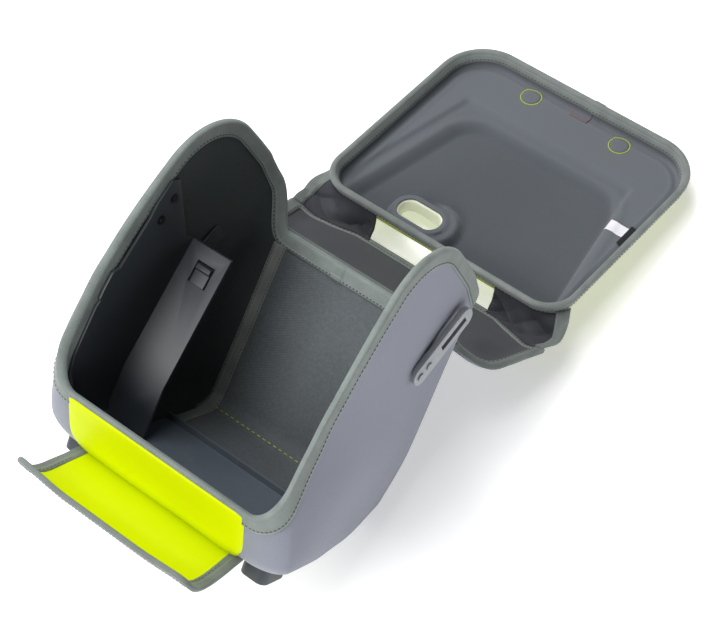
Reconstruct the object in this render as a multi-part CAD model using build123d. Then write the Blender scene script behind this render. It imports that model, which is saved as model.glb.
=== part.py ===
from build123d import *
import math
import os

os.makedirs("parts", exist_ok=True)

# A soft carry case for a defibrillator, open. The case leans back on its rear bottom
# edge and its lid lies behind it with the far edge on the floor. Millimetres, +Z up.
# The case body is drawn level in its own frame, with y = 0, z = 0 at the sharp rear
# bottom corner and -y towards the front, and is then tilted back about X.

# Attitude
body_tilt = 38.0
lid_pitch = 7.0

# Case body, outside
base_depth = 186.0
front_height = 64.0
front_overhang = 27.0
back_lean = 10.6
back_height = 182.0
half_width_front = 127.0
plan_taper = 12.0
side_round = 20.0
edge_radius = 25.0
rest_flat = 12.0
toe_flat = 14.0
loft_rise = 163.0

# Rim of the side walls, seen from the side
rim_bend_overhang = 6.0
rim_bend_z = 165.0
rim_slope_upper = 63.1
ear_back_y = 30.0
ear_back_z = 221.0
ear_slope = 48.7
ear_radius = 72.0
rim_bend_radius = 150.0

# Notch between the ears over the back wall
notch_inset = 11.0
notch_radius = 16.0

# Walls
shell_thickness = 3.5
wall_lining = 1.5
floor_lining_thickness = 3.5

# Tapes
binding_width = 10.0
binding_skin = 1.0
seam_tape_width = 13.0
seam_tape_thickness = 1.2
seam_tape_front_y = -60.0

# Side bracket on the left wall, its fin and the floor plate
bracket_thickness = 3.0
bracket_reach = 12.0
bracket_outline = [
    (-207, 99), (-183, 139), (-194, 158), (-170, 170), (-150, 215), (-140, 250),
    (-126, 250), (-94, 190), (-72, 182), (-70, 160), (-96, 80), (-72, 34), (-72, 4),
    (-182, 4), (-210, 60),
]
fin_reach = 46.0
fin_top = (-80.0, 186.0)
fin_foot = (-122.0, 64.0)
fin_toe = (-130.0, 6.0)
catch_size = 20.0
catch_inset = 26.0
catch_z = 163.0
catch_frame = 2.0
plate_thickness = 3.0
plate_rear_y = -72.0
plate_front_gap = 2.0
plate_left_inset = 27.0
plate_lip_height = 9.0
plate_lip_width = 3.0
bracket_screw_radius = 3.2
bracket_screw_height = 1.6
washer_radius = 4.3
washer_thickness = 0.8
wall_screws = [(-127.0, 232.0), (-136.0, 212.0)]
floor_screws = [-100.0, -150.0]

# Feet
foot_inset = 23.0
foot_setback = 26.0
foot_width = 28.0
foot_length = 34.0
foot_drop = 10.0
foot_round = 8.0
foot_bore_radius = 5.0
foot_bore_depth = 6.0
foot_screw_radius = 4.2
foot_screw_height = 3.0

# Strap clips on the side walls
clip_y = -32.0
clip_z = 199.0
clip_angle = 48.0
clip_length = 82.0
clip_width = 21.0
clip_thickness = 5.0
clip_standoff = 4.5
clip_pad_length = 24.0
clip_pad_shift = -27.0
clip_slot_length = 34.0
clip_slot_width = 7.0
clip_slot_shift = 15.0
rivet_radius = 3.6
rivet_head = 1.6
rivet_spacing = 12.0
backing_size = 20.0
backing_thickness = 1.6

# Rear bumpers
bumper_radius = 9.0
bumper_length = 8.0
bumper_inset = 31.0
bumper_z = 132.0

# Closure flap at the foot of the front panel
flap_side_gap = 3.0
flap_widening = 7.5
flap_length = 74.0
flap_thickness = 3.2
flap_root_setback = 4.0
flap_z = 4.0
flap_binding_width = 9.0
flap_binding_skin = 0.8
flap_corner = 8.0
keeper_radius = 9.0
keeper_thickness = 1.2
keeper_edge = 24.0
keeper_x = 54.0

# Cap
cap_clearance = 4.0
cap_riser = 32.0
cap_top = 93.0
cap_shell_thickness = 2.6
cap_lining_thickness = 1.4
cap_notch_clearance = 4.0
cap_shoulder_overhang = 23.0
cap_far_overhang = 34.0
cap_shoulder = 26.0
cap_flat_overhang = 9.0
cap_lip_height = 15.0
cap_binding_width = 9.0
cap_binding_skin = 0.8
cap_turn = 129.0
piping_clearance = 0.4

# Bellows
bellows_gap_half = 70.0
bellows_end_gap = 5.0
bellows_thickness = 2.4
bellows_clearance = 1.2
bellows_lid_clearance = 0.9
bellows_sag = 11.0

# Lid
lid_overhang = 17.0
lid_length = 256.0
lid_depth = 31.0
lid_flare = 13.0
lid_corner = 38.0
lid_near_corner = 22.0
lid_shell_thickness = 3.0
lid_lining_thickness = 1.6
handle_gap = 10.2
lid_binding_width = 11.0
lid_binding_skin = 1.0
closed_slope = 70.0
closed_clearance = 4.0
closed_far_z = 72.0

# Status window in the lid
window_x = -43.0
window_b = 37.0
window_length = 49.0
window_width = 26.0
bezel_wall = 2.0
bezel_flange = 3.5
bezel_thickness = 1.4
window_clearance = 0.3

# Magnets and small sewn pieces of the lid
magnet_x = 54.0
magnet_b = 223.0
magnet_radius = 8.0
magnet_thickness = 1.2
ring_radius = 10.5
ring_width = 1.2
ring_height = 0.8
tab_width = 22.0
tab_depth = 11.0
tab_thickness = 1.0
tab_b = 230.0
label_x = 117.0
label_b = 132.0
label_length = 26.0
label_width = 13.0
label_thickness = 0.6
tag_length = 12.0
tag_width = 8.0

half_width_back = half_width_front - plan_taper
half_width_flat = half_width_back - side_round
loft_top = back_height + loft_rise
rim_bend_y = -base_depth - rim_bend_overhang
notch_half_width = half_width_back - notch_inset
bracket_inner_x = half_width_back - bracket_reach
fin_inner_x = half_width_back - fin_reach
catch_x = half_width_back - catch_inset
plate_front_y = plate_front_gap - base_depth
plate_left_x = half_width_back - plate_left_inset
foot_x = half_width_front - foot_inset
foot_y = foot_setback - base_depth
bumper_x = half_width_back - bumper_inset
flap_root_half = half_width_flat - flap_side_gap
flap_edge_half = flap_root_half + flap_widening
flap_root_y = flap_root_setback - base_depth
cap_near_half = notch_half_width - cap_notch_clearance
cap_shoulder_half = half_width_back + cap_shoulder_overhang
cap_far_half = half_width_back + cap_far_overhang
cap_flat_half = half_width_back + cap_flat_overhang
bellows_outer_half = cap_far_half - bellows_end_gap
lid_width = 2 * (half_width_front + lid_overhang)
tilt = math.radians(body_tilt)
pitch = math.radians(lid_pitch)
lean = math.radians(back_lean)
corner_z = -rest_flat * math.sin(tilt)


def unit(degrees):
    """A direction in the side view, as (y, z)."""
    angle = math.radians(degrees)
    return math.cos(angle), math.sin(angle)


def to_floor(y, z):
    """Turn a point of the level body frame into the floor frame."""
    floor_y = y * math.cos(tilt) + z * math.sin(tilt)
    floor_z = -y * math.sin(tilt) + z * math.cos(tilt) + corner_z
    return floor_y, floor_z


def tilted(shape):
    """Lean a solid of the level body frame back into the floor frame."""
    return Pos(0, 0, corner_z) * Rot(-body_tilt, 0, 0) * shape


def turned(point, centre, degrees):
    """Turn a side view point about a centre, positive from +y towards +z."""
    cos_a, sin_a = unit(degrees)
    dy, dz = point[0] - centre[0], point[1] - centre[1]
    return centre[0] + dy * cos_a - dz * sin_a, centre[1] + dy * sin_a + dz * cos_a


def meet(line_a, line_b):
    """Where two side view lines meet; each is (point, direction)."""
    (ay, az), (dy, dz) = line_a
    (by, bz), (ey, ez) = line_b
    along = ((by - ay) * ez - (bz - az) * ey) / (dy * ez - dz * ey)
    return ay + dy * along, az + dz * along


def box_between(x0, x1, y0, y1, z0, z1):
    """An axis aligned box between two corners."""
    return Pos((x0 + x1) / 2, (y0 + y1) / 2, (z0 + z1) / 2) * Box(x1 - x0, y1 - y0, z1 - z0)


def side_prism(points, x0, x1, rounds=()):
    """Carry a side view outline of (y, z) points across from x0 to x1.

    rounds holds (index of the point, radius) for the corners that are rounded.
    """
    face = make_face(Polyline(*[(x0, y, z) for y, z in points], close=True))
    for index, radius in rounds:
        corner = Vector(x0, *points[index])
        near = min(face.vertices(), key=lambda v: (v.center() - corner).length)
        face = fillet(near, radius)
    return Solid.extrude(Face(face.faces()[0].outer_wire()), Vector(x1 - x0, 0, 0))


def one_side(shape, sign):
    """The shape as drawn for +x, or mirrored for -x."""
    return shape if sign > 0 else mirror(shape, Plane.YZ)


# Case body

def side_x(y):
    """Half width of the outside at depth y: the plan narrows to the back."""
    return half_width_back + plan_taper * (ear_back_y - y) / (ear_back_y + base_depth)


def crossing(line_a, line_b):
    """Where two lines given as (normal, distance) cross."""
    (a, c), (b, d) = line_a, line_b
    det = a[0] * b[1] - a[1] * b[0]
    return (c * b[1] - d * a[1]) / det, (a[0] * d - b[0] * c) / det


def corner_flat(line_a, line_b, normal, depth):
    """A line that cuts the corner of two others at a depth along its normal."""
    y, z = crossing(line_a, line_b)
    return normal, y * normal[0] + z * normal[1] + depth


def body_lines(inset_base, inset_wall):
    """The outline's sides in order, each as (inward normal, distance)."""
    length = math.hypot(front_height, front_overhang)
    front_normal = (front_height / length, front_overhang / length)
    toe_length = math.hypot(front_normal[0], front_normal[1] + 1)
    toe = (front_normal[0] / toe_length, (front_normal[1] + 1) / toe_length)
    base = ((0, 1), inset_base)
    back = ((-math.cos(lean), math.sin(lean)), inset_wall)
    front = (front_normal, -base_depth * front_normal[0] + inset_wall)
    heel = (-math.sin(tilt), math.cos(tilt))
    return [
        base,
        corner_flat(base, back, heel, rest_flat * math.sin(tilt)),
        back,
        ((0, -1), -loft_top),
        front,
        corner_flat(front, base, toe, toe_flat * toe[0]),
    ]


def body_section(inset_base, inset_wall, wall, share):
    """Outline of the body on a plane that follows the narrowing plan.

    share is how far across the plane lies, from the flat middle to the side wall,
    and wall is how much the side wall itself is drawn in.
    """
    lines = body_lines(inset_base, inset_wall)
    points = []
    for line_a, line_b in zip(lines, lines[1:] + lines[:1]):
        y, z = crossing(line_a, line_b)
        x = half_width_flat + (side_x(y) - wall - half_width_flat) * share
        points.append(Vector(x, y, z))
    return Wire.make_polygon(points, close=True)


def body_block(base, wall):
    """The solid outline of the body, drawn in by base underneath and wall elsewhere."""
    steps = 3
    sections = []
    for step in range(steps + 1):
        angle = math.pi / 2 * step / steps
        drop = (edge_radius - wall) * (1 - math.cos(angle))
        sections.append(body_section(base + drop, wall + drop, wall, math.sin(angle)))
    middle = Face(sections[0])
    core = Solid.extrude(middle, Vector(-2 * half_width_flat, 0, 0))
    right = Solid.make_loft(sections, ruled=True)
    return core.fuse(right, right.mirror(Plane.YZ)).clean()


def rim_outline():
    """Side view of the walls: behind the rim line and under the ears."""
    down = (-math.cos(math.radians(ear_slope)), math.sin(math.radians(ear_slope)))
    ear_line = ((ear_back_y, ear_back_z), down)
    apex = meet(((rim_bend_y, rim_bend_z), unit(rim_slope_upper)), ear_line)
    reach = 90.0
    tail = (ear_back_y - down[0] * reach, ear_back_z - down[1] * reach)
    front_y = -base_depth - front_overhang
    return [
        (-330, front_height), (front_y, front_height), (rim_bend_y, rim_bend_z),
        apex, tail, (tail[0], -80), (-330, -80),
    ]


def rim_block(grow):
    """The rim's side view carried right across, grown or drawn in all round."""
    half = 200.0
    block = side_prism(rim_outline(), -half, half, [(2, rim_bend_radius), (3, ear_radius)])
    if grow == 0:
        return block
    side = [face for face in block.faces() if face.center().X < 1 - half][0]
    wire = side.outer_wire().offset_2d(grow)
    return Solid.extrude(Face(wire), Vector(2 * half, 0, 0))


def notch_block(grow):
    """What is cut away over the back wall between the ears."""
    half = notch_half_width + grow
    low = back_height - grow
    high = loft_top + 60
    points = [(-half, 0, low), (half, 0, low), (half, 0, high), (-half, 0, high)]
    face = make_face(Polyline(*points, close=True))
    corners = [v for v in face.vertices() if v.Z < low + 1]
    face = fillet(corners, notch_radius + grow)
    return Solid.extrude(Face(face.faces()[0].outer_wire()), Vector(0, 250, 0)).moved(Pos(0, -35, 0))


full = 250.0
seam_x = half_width_flat
split_front = toe_flat - base_depth
split_back = -rest_flat
floor_z = shell_thickness + floor_lining_thickness
wall_total = shell_thickness + wall_lining

outer = body_block(0, 0)
middle = body_block(shell_thickness, shell_thickness)
inner = body_block(floor_z, wall_total)
inner_bracket = body_block(floor_z + bracket_thickness, wall_total + bracket_thickness)
inner_tape = body_block(floor_z + seam_tape_thickness, wall_total + seam_tape_thickness)
inner_backing = body_block(floor_z + backing_thickness, wall_total + backing_thickness)
outer_skin = body_block(-binding_skin, -binding_skin)
inner_skin = body_block(floor_z + binding_skin, wall_total + binding_skin)

rim_cut = rim_block(0) - notch_block(0)
shell = (outer - middle) & rim_cut
lining = (middle - inner) & rim_cut

right_zone = box_between(seam_x, full, -full, full, -full, 2 * full)
front_zone = box_between(-seam_x, seam_x, -full, split_front, -full, 2 * full)
back_zone = box_between(-seam_x, seam_x, split_back, full, -full, 2 * full)
base_zone = box_between(-seam_x, seam_x, split_front, split_back, -full, full)

body_nodes = {
    "side_shell_right": shell & right_zone,
    "base_shell": shell & base_zone,
    "back_shell": shell & back_zone,
    "front_panel": shell & front_zone,
    "side_lining_right": lining & right_zone,
    "floor_lining": lining & base_zone,
    "back_lining": lining & back_zone,
    "front_lining": lining & front_zone,
}
body_nodes["side_shell_left"] = mirror(body_nodes["side_shell_right"], Plane.YZ)
body_nodes["side_lining_left"] = mirror(body_nodes["side_lining_right"], Plane.YZ)


def rim_binding():
    """Tape folded over the rim: a skin on each side of the wall and one on its edge."""
    band = (outer_skin - inner_skin) & (rim_block(binding_skin) - notch_block(-binding_skin))
    keep_clear = rim_block(-binding_width) - notch_block(binding_width)
    return band - keep_clear - ((outer - inner) & rim_cut)


body_nodes["rim_binding"] = rim_binding()


def seam_tape(sign):
    """Tape over the joint of side and back lining, running forward over the floor."""
    top = back_height - binding_width - 4
    x0 = seam_x - seam_tape_width / 2
    zone = box_between(x0, x0 + seam_tape_width, seam_tape_front_y, full, -full, top)
    return one_side((inner - inner_tape) & zone, sign)


body_nodes["seam_tape_right"] = seam_tape(1)
body_nodes["seam_tape_left"] = seam_tape(-1)


# Plastic pieces inside the case

def side_bracket():
    """Wall plate on the left lining with a fin that stands across the case."""
    outline = side_prism(bracket_outline, -full, -bracket_inner_x)
    plate = (inner - inner_bracket) & outline & rim_block(-binding_width - 2)
    thick = bracket_thickness
    slab = side_prism(
        [fin_top, fin_foot, fin_toe, (fin_toe[0] - thick, fin_toe[1]),
         (fin_foot[0] - thick, fin_foot[1]), (fin_top[0] - thick, fin_top[1])],
        -full, -fin_inner_x,
    )
    fin = slab & body_block(floor_z + plate_thickness, wall_total + bracket_thickness / 2)
    half = catch_size / 2
    hole = box_between(-catch_x - half, -catch_x + half, -full, 0, catch_z - half, catch_z + half)
    return plate + (fin - hole)


bracket = side_bracket()
body_nodes["side_bracket"] = bracket


def fin_y(z):
    """Depth of the fin's front face at height z."""
    share = (z - fin_foot[1]) / (fin_top[1] - fin_foot[1])
    return fin_foot[0] + (fin_top[0] - fin_foot[0]) * share - bracket_thickness


def catch_hook():
    """Snap finger in the catch recess: a tongue with a hooked tip."""
    half = catch_size / 2 - catch_frame
    low, high = catch_z - catch_size / 2, catch_z + catch_size / 2 - catch_frame
    thick = bracket_thickness
    tip = 2.0
    points = [
        (fin_y(low), low), (fin_y(low) + thick, low), (fin_y(high) + thick, high),
        (fin_y(high) - tip, high), (fin_y(high - 4) - tip, high - 4), (fin_y(high - 6), high - 6),
    ]
    return side_prism(points, -catch_x - half, -catch_x + half)


body_nodes["catch_hook"] = catch_hook()


def floor_plate():
    """Moulded plate over the front of the floor with a lip along its rear edge."""
    right = half_width_back
    top = floor_z + plate_thickness
    sheet = box_between(-plate_left_x, right, plate_front_y, plate_rear_y, floor_z, top)
    lip = box_between(
        -plate_left_x, right, plate_rear_y - plate_lip_width, plate_rear_y,
        floor_z, floor_z + plate_lip_height,
    )
    return ((sheet + lip) & inner) - bracket


body_nodes["floor_plate"] = floor_plate()


def wall_seat(y, z):
    """Frame on the bracket's flat side at a point, its z axis into the case."""
    return Pos(wall_total + bracket_thickness - side_x(y), y, z) * Rot(0, 90, 0)


def corner_seat(y):
    """Frame on the middle of the bracket's rounded lower corner, z axis into the case."""
    inset = wall_total + bracket_thickness
    across, rise = side_x(y) - inset - half_width_flat, edge_radius - inset
    middle_share = (math.sin(math.pi / 6) + math.sin(math.pi / 3)) / 2
    x = half_width_flat + across * middle_share
    z = floor_z + bracket_thickness + rise * (1 - middle_share)
    return Pos(-x, y, z) * Rot(0, math.degrees(math.atan2(rise, across)), 0)


def fastener(seat):
    """A pan head on its washer, seated on the bracket."""
    washer = seat * Cylinder(washer_radius, 2 * washer_thickness) & inner_bracket
    head = Cylinder(bracket_screw_radius, bracket_screw_height)
    return seat * Pos(0, 0, washer_thickness + bracket_screw_height / 2) * head, washer


seats = [wall_seat(y, z) for y, z in wall_screws] + [corner_seat(y) for y in floor_screws]
fasteners = [fastener(seat) for seat in seats]
body_nodes["bracket_screws"] = [head for head, washer in fasteners]
body_nodes["bracket_washers"] = [washer for head, washer in fasteners]


# Feet under the front corners

def foot(sign):
    """A post under the front corner, shaped to the shell above it, with its bore."""
    x0, y0 = foot_x - foot_width / 2, foot_y - foot_length / 2
    post = box_between(x0, x0 + foot_width, y0, y0 + foot_length, -foot_drop, edge_radius)
    post = fillet(post.edges().filter_by(Axis.Z), foot_round) - outer
    bore = Pos(foot_x, foot_y, -foot_drop) * Cylinder(foot_bore_radius, 2 * foot_bore_depth)
    return one_side(post - bore, sign)


def foot_screw(sign):
    """Screw head on the floor of the foot's bore."""
    top = foot_bore_depth - foot_drop
    head = Pos(foot_x, foot_y, top - foot_screw_height / 2) * Cylinder(foot_screw_radius, foot_screw_height)
    return one_side(head, sign)


body_nodes["foot_right"] = foot(1)
body_nodes["foot_left"] = foot(-1)
body_nodes["foot_screws"] = [foot_screw(1), foot_screw(-1)]


# Strap clips

clip_face = side_x(clip_y) + clip_standoff
clip_frame = Pos(clip_face, clip_y, clip_z) * Rot(clip_angle, 0, 0)


def strap_clip(sign):
    """Slotted bar held off the side wall by a pad."""
    bar = Pos(clip_thickness / 2, 0, 0) * Box(clip_thickness, clip_length, clip_width)
    bar = fillet(bar.edges().filter_by(Axis.X), clip_width / 2 - 1)
    slot_at = Pos(clip_thickness / 2, clip_slot_shift, 0)
    slot = slot_at * Box(3 * clip_thickness, clip_slot_length, clip_slot_width)
    deep = clip_standoff + 12
    pad = Pos(-deep / 2, clip_pad_shift, 0) * Box(deep, clip_pad_length, clip_width - 4)
    return one_side((clip_frame * (bar - slot + pad)) - outer, sign)


def clip_rivets(sign):
    """Two rivet heads on the bar over the pad."""
    heads = []
    for shift in (-rivet_spacing / 2, rivet_spacing / 2):
        seat = clip_frame * Pos(clip_thickness + rivet_head / 2, clip_pad_shift + shift, 0) * Rot(0, 90, 0)
        heads.append(one_side(seat * Cylinder(rivet_radius, rivet_head), sign))
    return heads


def clip_backing(sign):
    """Plate inside the wall that spreads the clip's load."""
    block = clip_frame * Pos(0, clip_pad_shift, 0) * Box(120, backing_size, backing_size)
    right = block & box_between(0, full, -full, full, 0, 2 * full)
    return one_side((inner - inner_backing) & right, sign)


for sign, side in ((1, "right"), (-1, "left")):
    body_nodes["strap_clip_" + side] = strap_clip(sign)
    body_nodes["clip_backing_" + side] = clip_backing(sign)
body_nodes["clip_rivets"] = clip_rivets(1) + clip_rivets(-1)


def rear_bumper(sign):
    """Short stub low on the back."""
    seat = Pos(bumper_x, bumper_z * math.tan(lean), bumper_z) * Rot(90 - back_lean, 0, 0)
    return one_side(seat * Cylinder(bumper_radius, 2 * bumper_length) - outer, sign)


body_nodes["rear_bumpers"] = [rear_bumper(1), rear_bumper(-1)]


# Closure flap

def flap_sheet(inset, low, high, root=flap_root_y):
    """The flap's trapezoid between two heights, drawn in on its three free sides."""
    edge_y = flap_root_y - flap_length + inset
    root_half, edge_half = flap_root_half - inset, flap_edge_half - inset
    face = make_face(Polyline(
        (-root_half, root, low), (root_half, root, low),
        (edge_half, edge_y, low), (-edge_half, edge_y, low), close=True,
    ))
    corners = [v for v in face.vertices() if v.Y < edge_y + 1]
    face = fillet(corners, max(flap_corner - inset, 1))
    return Solid.extrude(Face(face.faces()[0].outer_wire()), Vector(0, 0, high - low))


flap_low, flap_high = flap_z - flap_thickness / 2, flap_z + flap_thickness / 2
keepers = []
for x in (-keeper_x, keeper_x):
    seat = Pos(x, flap_root_y - flap_length + keeper_edge, flap_z)
    keepers.append(seat * Cylinder(keeper_radius, keeper_thickness))
flap_panel = flap_sheet(0, flap_low, flap_high)
for keeper in keepers:
    flap_panel = flap_panel - keeper
flap_tape = flap_sheet(-flap_binding_skin, flap_low - flap_binding_skin, flap_high + flap_binding_skin)
flap_inner = flap_sheet(
    flap_binding_width, flap_low - 3, flap_high + 3, flap_root_y + 1,
)
flap_nodes = {
    "flap_panel": flap_panel,
    "flap_binding": flap_tape - flap_inner - flap_sheet(0, flap_low, flap_high),
    "flap_keepers": keepers,
}

# Cap: drawn shut in the body frame, over the back rim and the rear of the ears, and
# then turned open about the back rim

hinge = (
    back_height * math.tan(lean) + cap_clearance * math.cos(lean),
    back_height - cap_clearance * math.sin(lean),
)
riser_dir = unit(90 - back_lean)
top_dir = unit(180 - ear_slope)
bend = (hinge[0] + riser_dir[0] * cap_riser, hinge[1] + riser_dir[1] * cap_riser)
tip = (bend[0] + top_dir[0] * cap_top, bend[1] + top_dir[1] * cap_top)


def inward(direction):
    """The normal that points into the case, left of the direction."""
    return -direction[1], direction[0]


def shifted(point, direction, amount):
    """A point moved along a direction."""
    return point[0] + direction[0] * amount, point[1] + direction[1] * amount


def cap_line(level, near, far):
    """Riser and top in side view at a level inside or outside the middle surface."""
    low = shifted(shifted(hinge, riser_dir, near), inward(riser_dir), level)
    end = shifted(shifted(tip, top_dir, far), inward(top_dir), level)
    corner = meet((low, riser_dir), (end, top_dir))
    return [low, corner, end]


cap_plane = Plane(origin=(0, *bend), x_dir=(1, 0, 0), z_dir=(0, *inward(top_dir)))


def cap_lip(x):
    """How far the cap's end has curved inward at x."""
    over = max(abs(x) - cap_flat_half, 0) / (cap_far_half - cap_flat_half)
    return cap_lip_height * (1 - math.cos(math.pi / 2 * min(over, 1.1)))


def cap_outline(inset):
    """Plan of the cap's top, in its own plane: narrow at the riser, wide at the tip.

    The plane's second axis runs from the tip towards the riser.
    """
    sign = 1 if cap_plane.y_dir.Y * top_dir[0] + cap_plane.y_dir.Z * top_dir[1] > 0 else -1
    points = [
        (cap_near_half - inset, 0), (cap_shoulder_half - inset, cap_shoulder),
        (cap_far_half - inset, cap_top - inset),
    ]
    return [(x, s * sign) for x, s in points] + [(-x, s * sign) for x, s in reversed(points)]


def cap_block(low, high, inset):
    """The cap between two levels, drawn in by inset at its free edges."""
    steps = 6
    span = cap_far_half + 2 - cap_flat_half
    xs = [cap_flat_half + span * i / steps for i in range(steps + 1)]
    xs = [-x for x in reversed(xs)] + xs
    reach = 1 if cap_outline(0)[2][1] > 0 else -1
    points = [cap_plane.from_local_coords((x, 0, cap_lip(x) + low)) for x in xs]
    points += [cap_plane.from_local_coords((x, 0, cap_lip(x) + high)) for x in reversed(xs)]
    section = make_face(Polyline(*points, close=True)).faces()[0]
    top = Solid.extrude(section, cap_plane.y_dir * reach * (cap_top + 5))
    plan = [cap_plane.from_local_coords((x, s, -60)) for x, s in cap_outline(inset)]
    plan_face = make_face(Polyline(*plan, close=True)).faces()[0]
    top = top & Solid.extrude(plan_face, cap_plane.z_dir * 120)
    near_line, far_line = cap_line(low, 0, -inset), cap_line(high, 0, -inset)
    half = cap_near_half - inset
    central = side_prism(near_line + far_line[::-1], -half, half)
    return top + central


cap_half = (cap_shell_thickness + cap_lining_thickness) / 2
cap_parting = -cap_half + cap_shell_thickness
cap_skin = cap_binding_skin
cap_solid = cap_block(-cap_half, cap_half, 0)
cap_tape = cap_block(-cap_half - cap_skin, cap_half + cap_skin, -cap_skin)
cap_clear = cap_block(-cap_half - 4, cap_half + 4, cap_binding_width)


def riser_block():
    """The room round the riser, where the cap has no binding."""
    low, high = shifted(hinge, riser_dir, -9), shifted(bend, riser_dir, 6)
    points = [shifted(low, inward(riser_dir), 30), shifted(high, inward(riser_dir), 30)]
    points += [shifted(high, inward(riser_dir), -30), shifted(low, inward(riser_dir), -30)]
    return side_prism(points, -full, full)


piping_radius = cap_clearance - binding_skin - piping_clearance
piping = Pos(0, *hinge) * Rot(0, 90, 0) * Cylinder(piping_radius, 2 * cap_near_half)


def opened(shape):
    """Turn a piece of the shut cap open about the back rim and into the floor frame."""
    axis = Pos(0, *hinge)
    return tilted(axis * Rot(-cap_turn, 0, 0) * Pos(0, -hinge[0], -hinge[1]) * shape)


cap_outside = cap_block(-cap_half, cap_parting, 0)
cap_nodes = {
    "cap_shell": cap_outside - piping,
    "cap_lining": cap_block(cap_parting, cap_half, 0) - cap_outside - piping,
    "cap_binding": cap_tape - cap_clear - cap_solid - riser_block(),
    "hinge_piping": piping,
}

# Lid, drawn flat with its near rim edge on x, its length along y and its inside up

lid_centre = lid_length / 2


def lid_outline(inset, level):
    """Rounded plan of the lid, drawn in by inset, at a height."""
    half, low, high = lid_width / 2 - inset, inset, lid_length - inset
    corners = [(-half, low, level), (half, low, level), (half, high, level), (-half, high, level)]
    face = make_face(Polyline(*corners, close=True))
    near = [v for v in face.vertices() if v.Y < lid_centre]
    far = [v for v in face.vertices() if v.Y > lid_centre]
    face = fillet(near, max(lid_near_corner - inset, 4))
    far = [v for v in face.vertices() if v.Y > high - 1]
    face = fillet(far, max(lid_corner - inset, 6))
    return face.faces()[0]


def lid_block(inset, low, high):
    """The lid's flared outline between two heights, drawn in by inset."""
    per_mm = lid_flare / lid_depth
    lower, upper = lid_outline(inset - low * per_mm, low), lid_outline(inset - high * per_mm, high)
    return Solid.make_loft([lower.outer_wire(), upper.outer_wire()], ruled=True)


lid_wall = lid_shell_thickness + lid_lining_thickness
lid_floor = lid_wall - lid_depth


def stadium(length, width, low, high):
    """A stadium shaped block at the window."""
    shape = SlotOverall(length, width)
    return Pos(window_x, window_b, low) * extrude(shape, high - low)


window_hole = stadium(window_length, window_width, -lid_depth - 5, 5)
lid_outside = lid_block(0, -lid_depth, 0)
lid_middle = lid_block(lid_shell_thickness, lid_shell_thickness - lid_depth, 2)
lid_inside = lid_block(lid_wall, lid_floor, 2)
lid_tape = lid_block(-lid_binding_skin, -lid_binding_width, lid_binding_skin)
lid_tape_inside = lid_block(lid_wall + lid_binding_skin, -lid_binding_width - 2, 3)

clear = window_clearance
bezel = stadium(window_length - clear, window_width - clear, -lid_depth, lid_floor)
bezel = bezel + stadium(
    window_length + 2 * bezel_flange, window_width + 2 * bezel_flange,
    lid_floor, lid_floor + bezel_thickness,
)
bezel = bezel - stadium(
    window_length - 2 * bezel_wall, window_width - 2 * bezel_wall, -lid_depth - 5, 5,
)

magnets, rings = [], []
for x in (-magnet_x, magnet_x):
    disc = Cylinder(magnet_radius, magnet_thickness)
    magnets.append(Pos(x, magnet_b, lid_floor + magnet_thickness / 2) * disc)
    ring = Cylinder(ring_radius + ring_width, ring_height) - Cylinder(ring_radius, 2 * ring_height)
    rings.append(Pos(x, magnet_b, lid_floor + ring_height / 2) * ring)

label_x0 = label_x - label_width / 2
label_b1 = label_b + label_length / 2
lid_nodes = {
    "lid_shell": lid_outside - lid_middle - window_hole,
    "lid_lining": (lid_middle & lid_outside) - lid_inside - window_hole,
    "lid_binding": lid_tape - lid_tape_inside - (lid_outside - lid_inside),
    "window_bezel": bezel,
    "lid_magnets": magnets,
    "magnet_rings": rings,
    "stitched_tab": box_between(
        -tab_width / 2, tab_width / 2, tab_b - tab_depth / 2, tab_b + tab_depth / 2,
        lid_floor, lid_floor + tab_thickness,
    ),
    "blank_label": box_between(
        label_x0, label_x0 + label_width, label_b1 - label_length, label_b1,
        lid_floor, lid_floor + label_thickness,
    ),
    "side_tag": box_between(
        label_x0, label_x0 + tag_width, label_b1, label_b1 + tag_length,
        lid_floor, lid_floor + label_thickness,
    ),
}

# The lid lies behind the cap's open edge with its own far bottom edge on the floor
open_tip = to_floor(*turned(tip, hinge, -cap_turn))
open_dir = unit(180 - ear_slope - cap_turn - body_tilt)
lid_near_y = open_tip[0] + handle_gap
far_b = lid_length - lid_flare
lid_near_z = far_b * math.sin(pitch) + lid_depth * math.cos(pitch)


def laid(shape):
    """Put a piece of the flat lid at its place behind the case."""
    return Pos(0, lid_near_y, lid_near_z) * Rot(-lid_pitch, 0, 0) * shape


# Bellows: the folded fabric between the cap's tip and the lid, left and right of the
# handle gap, drawn in the floor frame

def lid_point(b, c):
    """A side view point of the laid lid."""
    return (
        lid_near_y + b * math.cos(pitch) + c * math.sin(pitch),
        lid_near_z - b * math.sin(pitch) + c * math.cos(pitch),
    )


def bellows(sign):
    """A sagging strip of fabric from the cap's tip to the lid's near wall."""
    half = bellows_thickness / 2
    start = shifted(open_tip, open_dir, cap_binding_skin + bellows_clearance)
    wall = lid_flare * 0.35
    reach = wall - lid_binding_skin - bellows_lid_clearance
    end = lid_point(reach, -wall * lid_depth / lid_flare)
    low = (open_tip[0] + (end[0] - open_tip[0]) * 0.55, open_tip[1] - bellows_sag)
    points = [
        shifted(start, (0, 1), half), shifted(low, (0, 1), half), shifted(end, (0, 1), half),
        shifted(end, (0, 1), -half), shifted(low, (0, 1), -half), shifted(start, (0, 1), -half),
    ]
    strip = side_prism(points, bellows_gap_half, bellows_outer_half)
    return one_side(strip, sign)


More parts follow.
